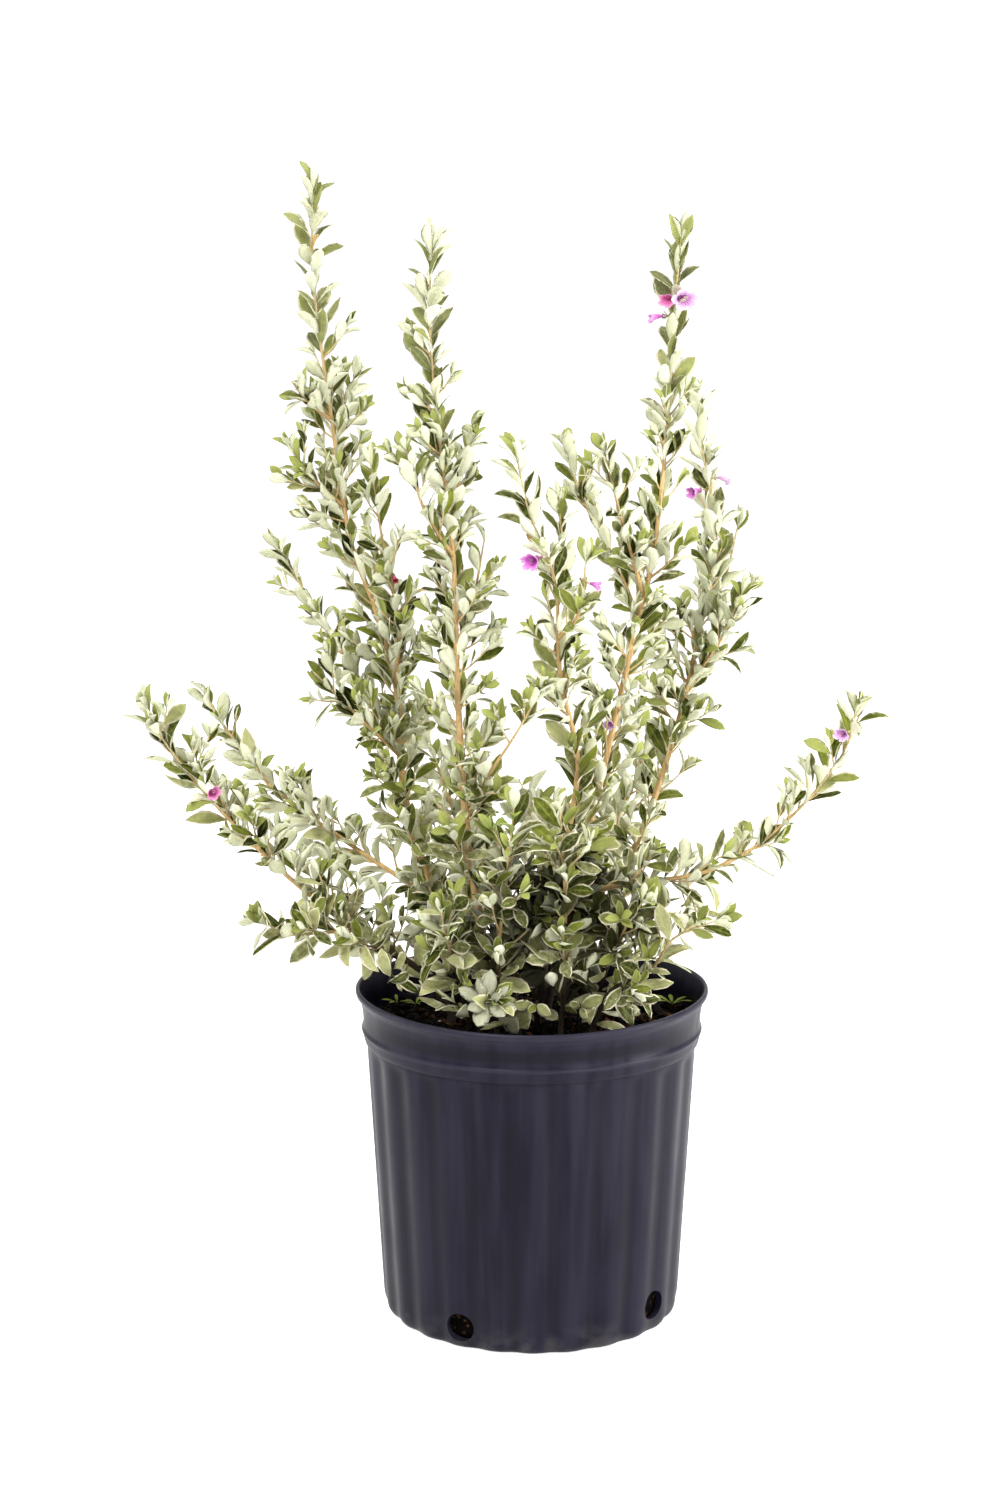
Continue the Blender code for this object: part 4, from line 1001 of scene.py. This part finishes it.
def keepClear(leaves):
    # drops the leaves that would reach into the soil or through the pot's rim, those that hide a bloom or
    # close a gap, and some of those between the stems' feet
    points = leafPoints(leaves).reshape(len(leaves["length"]), -1, 3)
    r, z = np.hypot(points[..., 0], points[..., 1]), points[..., 2]
    inSoil = (r < clear["soil"][0]) & (z < clear["soil"][1])
    low, high, top = clear["rim"]
    inRim = (r > low) & (r < high) & (z < top)
    middle = points.mean(1)
    seen, hides = seenAt(points.reshape(-1, 3)).reshape(points.shape), np.zeros(len(middle), bool)
    share, behind = clear["mouth"]
    for name in blooms:
        mouth = bloomPlace(name)[3]
        spot = seenAt(mouth[None])[0]
        close = np.hypot(seen[..., 0] - spot[0], seen[..., 2] - spot[2]) < share * blooms[name][5]
        hides |= (close & (points[..., 1] < mouth[1] + behind)).any(1)
    reach, top, share = clear["inner"]
    inner = (np.hypot(middle[:, 0], middle[:, 1]) < reach) & (middle[:, 2] < top) & (leaves["tone"] < share)
    return pickLeaves(leaves, ~(inSoil | inRim).any(1) & ~inGap(middle) & ~inner & ~hides)


def tintLeaves(leaves):
    # over dryTint only the nearest leaf, a little shrunken
    seen = seenAt(middles(leaves))
    for x, z, reach, tint in oddLeaves:
        away = np.hypot(seen[:, 0] - x, seen[:, 2] - z) + (leaves["root"][:, 1] > oddDepth)
        if tint > dryTint:
            away = away + (away > away.min())
            leaves["length"] = leaves["length"] * np.where(away < reach, dryShrink, 1.0)
        leaves["tint"] = np.where(away < reach, tint, leaves["tint"])
    return leaves


def enclosure(leaves):
    # weight(gap) = a bell curve of the distance between two leaves' middles; a leaf is enclosed where the
    # weights add up to much and the leaves round it balance out, so that their mean gap is small
    middle = middles(leaves)
    reach = foliage["crowdReach"]
    crowd, balance = [], []
    for part in np.array_split(middle, foliage["crowdParts"]):
        gap = middle[None] - part[:, None]
        weight = np.exp(-np.sum(gap**2, -1) / (2 * reach**2))
        crowd.append(weight.sum(1))
        balance.append(np.linalg.norm((weight[..., None] * gap).sum(1), axis=1) / weight.sum(1) / reach)
    crowd, balance = np.concatenate(crowd), np.concatenate(balance)
    low, high = np.percentile(crowd, foliage["crowd"])
    most, over = foliage["crowdBalance"]
    shade = np.clip((crowd - low) / (high - low), 0, 1) * np.clip(most - balance / over, 0, 1)
    shade = shade * np.interp(middle[:, 2], *foliage["shadeByHeight"])
    radius, over, top, under, most = foliage["footShade"]
    inward = np.clip((radius - np.hypot(middle[:, 0], middle[:, 1])) / over, 0, 1)
    return np.maximum(shade, most * inward * np.clip((top - middle[:, 2]) / under, 0, 1))


def woodBlock(route, low, high, kind, age=None):
    # a tapered tube, swollen a little where each leaf stands
    lengths = lengthsAlong(route)
    share = lengths / lengths[-1]
    step, swell, sharpness = wood["knots"]
    knots = 1 + swell * np.maximum(0, np.sin(fullTurn * lengths / step)) ** sharpness
    grid = tubeGrid(route, (low + (high - low) * share ** wood["taper"]) * knots, kinds[kind]["sides"])
    foot, tip = age or kinds[kind]["age"]
    return gridBlock(grid, 0, age=foot + (tip - foot) * share)


def shootRoute(stem, smooth, number, draw):
    # the same draws as the frame's own side shoots, from the smooth stem, with a slight rise to its tip
    along, around = wood["shootJitter"]
    step = (number + 0.5 + draw.uniform(-along, along)) / stem["shoots"]
    low, high = wood["shootSpan"]
    share = low + (high - low) * step
    turn = number * goldenAngle + draw.uniform(-around, around)
    length = stem["shootLength"] * (1 - wood["shootShrink"] * share) * draw.uniform(*wood["shootVary"])
    path = stem["path"]
    lengths = lengthsAlong(path)
    wanted = share * lengths[-1]
    i = int(np.clip(np.searchsorted(lengths, wanted) - 1, 0, len(path) - 2))
    within = (wanted - lengths[i]) / (lengths[i + 1] - lengths[i])
    direction = unit(path[i + 1] - path[i])[None]
    spread = wood["shootSpread"]
    out = direction * math.cos(spread) + wayOut(direction, [turn]) * math.sin(spread)
    out = unit(out + [0, 0, wood["shootLift"]])[0]
    root = smooth[int(round((i + within) * 8))]
    tip = path[i] + (path[i + 1] - path[i]) * within + out * length
    return smoothRoute([root, 0.5 * (root + tip) + [0, 0, wood["shootSag"] * length], tip], 4)


def twigRoutes(route, fullness, shelf, draw):
    # short extra twigs between a route's leaves, closer together low down, none close to its tip
    spots = np.linspace(*foliage["twigSpan"])
    crowd = np.interp(alongRoute(route, spots)[0][:, 2], *foliage["twigsByHeight"])
    filled = np.concatenate([[0], np.cumsum(0.5 * (crowd[1:] + crowd[:-1]) * np.diff(spots))])
    count = int(fullness * filled[-1] * lengthsAlong(route)[-1] / foliage["twigStep"])
    if not count:
        return []
    share = np.interp((np.arange(count) + draw.uniform(0.2, 0.8, count)) / count, filled / filled[-1], spots)
    points, directions = alongRoute(route, share)
    out = wayOut(directions, draw.uniform(0, fullTurn) + np.arange(count) * goldenAngle)
    aim = leanOut(directions, out, draw.uniform(*foliage["twigLean"], count))[0]
    aim = unit(aim + [0, 0, foliage["twigRise"] + shelf])
    length = draw.uniform(*foliage["twigLength"], count)
    length = length * np.interp(points[:, 2], *foliage["twigReachByHeight"])
    ends = points + aim * length[:, None]
    bow = 0.5 * (points + ends) + directions * foliage["twigSag"] * length[:, None]
    free = ~inGap(ends) & ~inGap(bow)
    return [smoothRoute([a, b, c], 3) for a, b, c in zip(points[free], bow[free], ends[free])]


def addedTwig(end, smooth):
    # from the point of the stem that is nearest to a little under the twig's end
    foot = nearestOn(smooth, end - [0, 0, foliage["addedDrop"]])
    return smoothRoute([foot, 0.5 * (foot + end) - [0, 0, foliage["addedSag"]], end], 3)


def baresStem(leaves, smooth, span):
    # most of the leaves that are seen right in front of the stem, between two heights, are to be left out
    seen, line = seenAt(middles(leaves)), seenAt(smooth)
    aside = np.abs(seen[:, 0] - np.interp(seen[:, 2], line[:, 2], line[:, 0]))
    wall = np.interp(leaves["root"][:, 2], smooth[:, 2], smooth[:, 1]) + foliage["bareFront"]
    nearer = leaves["root"][:, 1] < wall
    inside = (seen[:, 2] > span[0]) & (seen[:, 2] < span[1])
    return inside & nearer & (aside < foliage["bareReach"]) & (leaves["tone"] < foliage["bareShare"])


def growStem(stem, number):
    # the stem with its branches, side shoots and twigs, each a tapered tube with its leaves round it
    draw = np.random.default_rng(wood["leafSeed"] + number)
    shootDraw = random.Random(wood["shootSeed"] + number)
    smooth = smoothRoute(stem["path"])
    fullness, shelf = stem["growth"]
    foot, ring = ([0, 0, depth] for depth in wood["depth"])
    buried = np.vstack([smooth[0] - foot, smooth[0] - ring, smooth])
    blocks = [woodBlock(buried, stem["radius"], wood["tipRadius"], "stem")]
    own = leavesOn(smooth, "stem", draw, shelf)
    stay = np.interp(own["root"][:, 2], *foliage["stemShare"])
    sets = [pickLeaves(own, draw.uniform(0, 1, len(stay)) < stay)]

    def grow(kind, routes):
        for route in routes:
            blocks.append(woodBlock(route, kinds[kind]["radius"], wood["tipRadius"], kind))
            sets.append(leavesOn(route, kind, draw, shelf))

    branches = [smoothRoute(np.vstack([nearestOn(smooth, b[0]), b[1:]])) for b in stem["branches"]]
    grow("branch", branches)
    shoots = [shootRoute(stem, smooth, n, shootDraw) for n in range(stem["shoots"])]
    grow("shoot", [route for route in shoots if not inGap(route[len(route) // 2:]).any()])
    twigs = [route for parent in [smooth] + branches for route in twigRoutes(parent, fullness, shelf, draw)]
    grow("twig", twigs + [addedTwig(end, smooth) for end in stem["twigs"]])
    leaves = keepClear(mergeLeaves(sets))
    if stem["bare"]:
        leaves = pickLeaves(leaves, ~baresStem(leaves, smooth, stem["bare"]))
    return blocks, tintLeaves(leaves)


def leafFelt():
    look = Look("feltedLeaf", 0.65, Specular_IOR_Level=0.03)
    form = look.group("blade", Map=look.ownMap(), Veins=6.0, Slant=0.45)
    rib, vein = form["Midrib"], form["Vein"]
    tone, age, tint, shade = (look.value(key) for key in ("tone", "age", "tint", "shade"))
    patch = look.mottle(260.0, 3.0, 0.32, 0.68)
    vary = look.fade(look.calc("ADD", look.times(tone, 0.75), look.times(patch, 0.25)), 0.08, 0.92)
    fresh = look.mix(vary, (0.007, 0.011, 0.0004), (0.165, 0.192, 0.022))
    sage = look.mix(vary, (0.030, 0.037, 0.005), (0.48, 0.48, 0.235))
    upper = look.layers(
        look.mix(look.fade(age, 0.41, 0.81), fresh, sage),
        (look.fade(age, 0.45, 0.05), 1, (0.37, 0.400, 0.115)),
        (rib, 0.30, (0.32, 0.36, 0.11)), (vein, 0.16, (0.26, 0.31, 0.07)),
        (look.fade(look.height(), 0.66, 0.84), 0.32, (0.46, 0.48, 0.24)),
        (look.times(form["Margin"], look.fade(age, 0.15, 0.65)), 0.95, (0.90, 0.83, 0.60)))
    under = look.layers(
        look.mix(vary, (0.63, 0.645, 0.43), (0.90, 0.905, 0.70)),
        (look.fade(age, 0.60, 0.95), 0.38, (0.50, 0.48, 0.29)),
        (look.fade(age, 0.45, 0.10), 0.15, (0.45, 0.48, 0.29)),
        (rib, 0.30, (0.64, 0.63, 0.38)), (vein, 0.18, (0.34, 0.42, 0.22)))
    # the odd leaves' green, yellow and orange; then the inside of the bush, which gets little light
    colour = look.layers(
        look.mix(form["Under"], upper, under),
        (look.fade(tint, 0.1, 0.25), 0.75, (0.25, 0.33, 0.040)),
        (look.fade(tint, 0.45, 0.58), 0.9, (0.62, 0.46, 0.085)),
        (look.fade(tint, 0.75, 0.95), 0.85, (0.68, 0.43, 0.22)),
        (look.fade(shade, 0.0, 0.85), 0.90, (0.018, 0.017, 0.003)))
    ribs = look.calc("ADD", look.times(rib, 2.0), vein)
    return look.finish(colour, look.calc("ADD", patch, ribs), 0.30, 0.0002)


def stemBark():
    look = Look("tanBark", 0.8, Specular_IOR_Level=0.3)
    age = look.value("age")
    crack = look.mottle(1100.0, 3.0, 0.42, 0.62, look.stretched(1, 1, 0.12))
    patch = look.mottle(140.0, 3.0, 0.35, 0.65)
    colour = look.layers(
        look.mix(look.fade(age, 0.10, 0.45), (0.68, 0.56, 0.29), (0.70, 0.465, 0.205)),
        (look.fade(age, 0.82, 1.0), 1, (0.20, 0.115, 0.060)), (patch, 0.35, (0.52, 0.37, 0.18)),
        (crack, 0.30, (0.12, 0.065, 0.035)),
        # painted shade: the wood goes near black low down among the stems' feet, where the bush is dark
        (look.fade(look.height(), 0.350, 0.285), 0.96, (0.008, 0.005, 0.0035)))
    return look.finish(colour, look.calc("SUBTRACT", patch, crack), 0.6, 0.0005)


def addStems():
    materials = [stemBark(), leafFelt()]
    grown = [growStem(stem, number) for number, stem in enumerate(stems.values())]
    shade = enclosure(mergeLeaves([leaves for _, leaves in grown]))
    print("leaves", len(shade))
    for name, (blocks, leaves) in zip(stems, grown):
        leaves["shade"], shade = np.split(shade, [len(leaves["length"])])
        mesh = makeMesh("leafy_" + name, blocks + [leafBlock(leaves)], materials)
        addPiece(mesh, "leafy_stem", "stem_" + name)
    return materials


# Blooms: the stem, which of its routes (0 is the stem's own), the height on it, the way the bloom faces,
# its length, the radius of its mouth, its colour and how far it has wilted

blooms = {
    "bloom_centre": ("centre", 0, 0.621, (-0.72, -0.62, 0.30), 0.0165, 0.0098, "magentaPetal", 0.15),
    "bloom_centre_small": ("centre", 2, 0.604, (0.80, -0.35, 0.10), 0.0120, 0.0062, "magentaPetal", 0.3),
    "bloom_top_right": ("right_tall", 0, 0.810, (0.34, -0.93, 0.06), 0.0185, 0.0112, "fadedPetal", 0.15),
    "bloom_top_red": ("right_tall", 0, 0.809, (-0.50, -0.80, 0.30), 0.0130, 0.0080, "pinkPetal", 0.5),
    "bloom_top_left": ("right_tall", 0, 0.796, (-0.97, -0.10, 0.15), 0.0185, 0.0055, "magentaPetal", 0.5),
    "bloom_right": ("right_back", 0, 0.656, (-0.88, -0.45, 0.10), 0.0165, 0.0075, "magentaPetal", 0.3),
    "bloom_right_faded": ("right_back", 0, 0.664, (0.88, -0.30, 0.36), 0.0180, 0.0055, "fadedPetal", 1.0),
    "bloom_far_right": ("right_low", 0, 0.490, (-0.45, -0.80, 0.45), 0.0135, 0.0072, "fadedPetal", 0.3),
    "bloom_far_left": ("left_low", 0, 0.431, (0.20, -0.75, 0.60), 0.0145, 0.0072, "pinkPetal", 0.4),
    "bloom_low": ("right_tall", 0, 0.482, (-0.30, -0.90, 0.30), 0.0125, 0.0055, "fadedPetal", 0.5),
    "bud_left": ("left_tall", 4, 0.596, (0.35, -0.90, 0.25), 0.0120, 0.0032, "darkRedBud", 1.0),
}
petals = {
    "rows": 16, "columns": 60, "wall": 0.00035, "stalk": 0.0007, "oval": 0.70, "veins": 25,
    "skins": {
        "magentaPetal": ((0.58, 0.11, 0.50), (0.82, 0.46, 0.80)),
        "pinkPetal": ((0.60, 0.13, 0.34), (0.80, 0.38, 0.58)),
        "fadedPetal": ((0.68, 0.38, 0.66), (0.84, 0.62, 0.83)),
        "darkRedBud": ((0.24, 0.012, 0.035), (0.40, 0.035, 0.075)),
        "anther": ((0.50, 0.20, 0.40), (0.62, 0.40, 0.46)),
    },
    "lobes": 5, "lobeCurve": 0.7,
    # radius, in shares of the mouth: at the foot, how much wider, and from where over how much it grows
    "throat": (0.13, 0.37, 0.12, 0.45, 1.1),
    "flare": (0.55, 0.45, 1.2),
    # of the flare: fresh, less when wilted, between the lobes and on them
    "spread": (0.54, 0.22, 0.45, 0.55),
    "frill": ((15, 1.0, 0.035), (11, 0.0, 0.025)),        # how many, their phase and depth
    # in all, cut between the lobes, curled back, and the frill's share
    "length": (0.92, 0.20, 0.10, 0.8),
    "leastInner": 0.25, "hidden": 3, "lip": 0.3, "droop": -0.35,
    # off the middle of a stem, off that of a branch, and further by this share of the bloom's length
    "seat": (0.0028, 0.0022, 0.10),
    "facingAgain": 0.25, "mouthAt": 0.8,
    "sepals": (5, 0.30, 0.36, 0.42), "scale": (0.92, 1.04), "stamensUnder": 0.5,
    "seed": 500, "threads": (0.00018, 0.00016, 0.00016, 0.0006, 0.0006, 0.0002),
    "threadRoute": ((0.25, 0.0), (0.5, 0.10), (0.70, 0.16)), "threadSteps": (0, 0.4, 0.85, 0.88, 0.97, 1.0),
}


def bellGrid(root, facing, length, mouth, wilt):
    # radius(along, turn): a narrow tube that flares to the mouth, where it is scalloped in five lobes by
    # the cosine of two and a half turns; then the same again inside, a wall's thickness smaller
    across = wayOut(facing[None], [0.0])[0]
    other = np.cross(facing, across)
    s = np.linspace(0, 1, petals["rows"])[:, None]
    turns = np.linspace(0, fullTurn, petals["columns"], endpoint=False)[None]
    lobe = np.abs(np.cos(0.5 * petals["lobes"] * turns)) ** petals["lobeCurve"]
    foot, wider, start, over, curve = petals["throat"]
    throat = foot + wider * np.clip((s - start) / over, 0, 1) ** curve
    start, over, curve = petals["flare"]
    flare = np.clip((s - start) / over, 0, 1)
    fresh, less, between, onLobe = petals["spread"]
    radius = mouth * (throat + (fresh - less * wilt) * flare**curve * (between + onLobe * lobe))
    frill = flare**2 * sum(depth * np.sin(count * turns + phase) for count, phase, depth in petals["frill"])
    full, cut, curl, wavy = petals["length"]
    reach = s * full - cut * flare**2 * (1 - lobe) - curl * flare**3 * lobe * (1 - wilt) + frill * wavy
    radius = radius * (1 + frill)
    inner = np.maximum(radius - petals["wall"], petals["leastInner"] * radius)
    hidden = petals["hidden"]
    rings = np.concatenate([radius, inner[::-1][:-hidden]])
    outs = np.concatenate([reach * length, (reach * length)[::-1][:-hidden] + petals["lip"] * petals["wall"]])
    ring = np.cos(turns)[..., None] * across + petals["oval"] * np.sin(turns)[..., None] * other
    shares = np.concatenate([s, s[::-1][:-hidden]])[..., None]
    droop = np.array([0, 0, petals["droop"] * wilt]) * length * shares**2
    return root + outs[..., None] * facing + rings[..., None] * ring + droop


def smallBlades(root, facing, count, length, aspect, lean, draw, bend=-0.4, tint=0.0):
    # a ring of narrow blades round a line, for sepals and seedlings
    directions = np.repeat(facing[None], count, 0)
    out = wayOut(directions, np.arange(count) * fullTurn / count + draw.uniform(0, 1))
    along, up = leanOut(directions, out, lean + draw.normal(0, 0.08, count))
    same = {"aspect": aspect, "fold": 0.35, "bend": bend, "age": 0.5, "tint": tint, "shade": 0.0}
    return {
        "root": np.repeat(root[None], count, 0), "along": along, "up": up,
        "length": length * draw.uniform(0.85, 1.1, count), "twist": draw.normal(0, 0.2, count),
        "tone": draw.uniform(0.3, 0.9, count), **{key: np.full(count, value) for key, value in same.items()},
    }


def petalSkin(name, deep, pale):
    look = Look(name, 0.5, Sheen_Weight=0.15, Specular_IOR_Level=0.3)
    x, y, _ = look.add("SeparateXYZ", {0: look.ownMap()})
    veins = look.calc("SINE", look.times(x, fullTurn * petals["veins"]))
    patch = look.mottle(420.0, 2.0, 0.35, 0.65)
    mouth = look.fade(look.off(look.times(y, 2.0), 1.0), 0.55, 0.05)
    colour = look.layers(
        look.mix(mouth, deep, pale), (patch, 0.35, deep), (look.fade(veins, 0.2, 1.0), 0.20, deep))
    return look.finish(colour, look.calc("ADD", veins, patch), 0.35, 0.0003)


def bloomPlace(name):
    # foot on the smooth stem, the bell's base, its facing and the middle of its mouth
    stem, route, height, facing, length = blooms[name][:5]
    points = [stems[stem]["path"], *stems[stem]["branches"]][route]
    i = np.flatnonzero((points[:-1, 2] <= height) & (points[1:, 2] >= height))[0]
    share = (height - points[i, 2]) / (points[i + 1, 2] - points[i, 2])
    point = points[i] + share * (points[i + 1] - points[i])
    direction = unit(points[i + 1] - points[i])
    facing = np.array(facing, float)
    facing = unit(unit(facing - (facing @ direction) * direction) + petals["facingAgain"] * facing)
    offStem, offBranch, share = petals["seat"]
    base = point + facing * ((offBranch if route else offStem) + share * length)
    return nearestOn(smoothRoute(points), point), base, facing, base + facing * petals["mouthAt"] * length


def stamens(base, facing, length, mouth):
    # four threads in the bell, each with a thick anther near its end
    threads = []
    for tip in wayOut(np.repeat(facing[None], 4, 0), np.arange(4) * 1.5 + 0.4):
        line = np.stack([base + facing * out * length + tip * aside * mouth
                         for out, aside in petals["threadRoute"]])
        points = alongRoute(line, petals["threadSteps"])[0]
        threads.append(gridBlock(tubeGrid(points, np.array(petals["threads"]), 6), 3))
    return threads


def bloomPiece(name, number, leafMaterials, skins):
    # a stalk from the stem's middle line to the bell, a ring of sepals, the bell and its stamens
    length, mouth, skin, wilt = blooms[name][4:]
    draw = np.random.default_rng(petals["seed"] + number)
    foot, base, facing, _ = bloomPlace(name)
    stalk = smoothRoute([foot, 0.5 * (foot + base) + [0, 0, 0.0003], base], 4)
    count, share, aspect, lean = petals["sepals"]
    sepals = smallBlades(base - facing * 0.0004, facing, count, share * length, aspect, lean, draw)
    longer, wider = petals["scale"]
    blocks = [woodBlock(stalk, petals["stalk"], petals["stalk"] * 1.2, "twig", (0.0, 0.0)),
              gridBlock(bellGrid(base, facing, length * longer, mouth * wider, wilt), 2), leafBlock(sepals)]
    if wilt < petals["stamensUnder"]:
        blocks += stamens(base, facing, length, mouth)
    materials = leafMaterials + [skins[skin], skins["anther"]]
    mesh = makeMesh("petals_" + name.replace("bloom_", ""), blocks, materials)
    addPiece(mesh, "bud" if name.startswith("bud") else "bloom", name)


def addBlooms(leafMaterials):
    skins = {name: petalSkin(name, *colours) for name, colours in petals["skins"].items()}
    for number, name in enumerate(blooms):
        bloomPiece(name, number, leafMaterials, skins)


# Low sprouts, in millimetres: foot and tip, and how many leaves stand round the tip. The first is a rosette
# that faces the front and shows its felted side.

sprouts = [
    ((-36, -44), (-35, -114, 282), 11), ((6, -30), (2, -98, 276), 5), ((36, -30), (36, -100, 274), 4),
    ((62, -20), (74, -92, 280), 5), ((-46, -20), (-66, -76, 296), 5), ((-20, 62), (-26, 98, 280), 8),
    ((50, 56), (64, 90, 286), 8), ((-74, 46), (-96, 70, 284), 7),
]
rosette = {"facing": (0.04, -0.78, 0.62), "leans": (80, 26), "tone": (0.46, 0.62), "bend": 0.6, "shade": 0.46}
sprout = {"leans": (66, 48), "topLeans": (34, 30, 24), "tone": (0.3, 1), "bend": -1, "shade": 0.28}
young = {
    "seed": 88, "buried": 0.003, "bow": 0.012, "radii": (0.0013, 0.0009), "age": (0.6, 0.1), "rise": 0.12,
    "length": 0.0240, "lengthSpread": (0.8, 1.1), "topLengths": (0.9, 0.7, 0.55),
    "shares": (0.35, 1.0), "topShares": (0.97, 0.98, 0.99), "leanSpread": 0.12,
    "aspect": (0.44, 0.56), "fold": (0.22, 0.1), "bend": (0.2, 0.8), "twist": 0.3, "leafAge": (0.45, 0.9),
}


def addSprouts(leafMaterials):
    # each a bowed twig from the soil; a rosette's leaves all stand round its tip, the others' along the twig
    draw = np.random.default_rng(young["seed"])
    sets, blocks = [], []
    for (footX, footY), tip, count in sprouts:
        flat = not sets
        own = rosette if flat else sprout
        foot, tip = onSoil(footX / 1000, footY / 1000, young["buried"]), metres(tip)[0]
        route = smoothRoute([foot, 0.5 * (foot + tip) + [0, 0, young["bow"]], tip], 5)
        blocks.append(woodBlock(route, *young["radii"], "twig", young["age"]))
        turns = np.arange(count) * goldenAngle + draw.uniform(0, 6)
        if flat:
            points, directions = np.repeat(tip[None], count, 0), np.repeat([own["facing"]], count, 0)
            leans = np.linspace(*own["leans"], count)
        else:
            shares = np.append(np.linspace(*young["shares"], count - 3), young["topShares"])
            points, directions = alongRoute(route, shares)
            leans = np.append(np.linspace(*own["leans"], count - 3), own["topLeans"])
        lean = np.radians(leans) + draw.normal(0, young["leanSpread"], count)
        sizes = np.append(np.ones(count - 3), young["topLengths"])
        along = unit(leanOut(directions, wayOut(directions, turns), lean)[0] + [0, 0, young["rise"]])
        sets.append({
            "root": points, "along": along, "up": squareTo(along, directions) * (-1 if flat else 1),
            "length": young["length"] * draw.uniform(*young["lengthSpread"], count) * sizes,
            "aspect": draw.uniform(*young["aspect"], count),
            "fold": np.abs(draw.normal(*young["fold"], count)),
            "bend": draw.uniform(*young["bend"], count) * own["bend"],
            "twist": draw.normal(0, young["twist"], count), "tone": draw.uniform(*own["tone"], count),
            "age": np.full(count, 0.5) if flat else draw.uniform(*young["leafAge"], count),
            "tint": np.zeros(count), "shade": np.full(count, own["shade"]),
        })
    blocks.append(leafBlock(keepClear(mergeLeaves(sets))))
    addPiece(makeMesh("leafy_sprouts", blocks, leafMaterials), "leafy_stem")


# Seedlings on the soil: x and y in the frame, how many blades and how long

seedlings = [
    (-0.110, 0.030, 5, 0.013), (-0.095, 0.033, 5, 0.012), (0.114, 0.036, 6, 0.017), (-0.020, 0.112, 5, 0.011),
]
seedling = {"seed": 77, "buried": 0.002, "top": (0.001, 0.0, 0.0065), "radii": (0.0005, 0.0004),
            "aspect": 0.24, "lean": 1.1, "bend": -0.5, "tint": 0.3}


def addSeedlings(leafMaterials):
    # each a short upright stalk with a ring of narrow blades at its top
    sets, blocks = [], []
    draw = np.random.default_rng(seedling["seed"])
    shape = [seedling[key] for key in ("aspect", "lean")]
    hang = [seedling[key] for key in ("bend", "tint")]
    for x, y, count, length in seedlings:
        foot = onSoil(x, y, seedling["buried"])
        top = foot + seedling["top"]
        route = smoothRoute([foot, 0.5 * (foot + top), top], 3)
        blocks.append(woodBlock(route, *seedling["radii"], "twig", (0.0, 0.0)))
        sets.append(smallBlades(top, np.array([0.0, 0.0, 1.0]), count, length, *shape, draw, *hang))
    blocks.append(leafBlock(mergeLeaves(sets)))
    addPiece(makeMesh("seedlings", blocks, leafMaterials), "leafy_stem")


def addFloor():
    look = Look("studioFloor", 0.9, Specular_IOR_Level=0.1)
    look.shader["Base Color"].default_value = (*studio["floorColour"], 1)
    look.shader["Emission Color"].default_value = (1, 1, 1, 1)
    look.feed(look.shader["Emission Strength"], look.forCamera(studio["floorGlow"], studio["floorWhite"]))
    corners = 0.5 * studio["floorSize"] * np.array([(-1, -1, 0), (1, -1, 0), (1, 1, 0), (-1, 1, 0)])
    mesh = bpy.data.meshes.new("studio_floor")
    mesh.from_pydata(corners.tolist(), [], [(0, 1, 2, 3)])
    mesh.materials.append(look.material)
    floor = addObject("studio_floor", mesh)


addCamera()
addLamps()
addRoom()
addFloor()
print("studio set")
addPot()
print("pot made")
addSoil()
print("soil made")
leafMaterials = addStems()
print("stems made")
addBlooms(leafMaterials)
addSprouts(leafMaterials)
addSeedlings(leafMaterials)
print("blooms made")
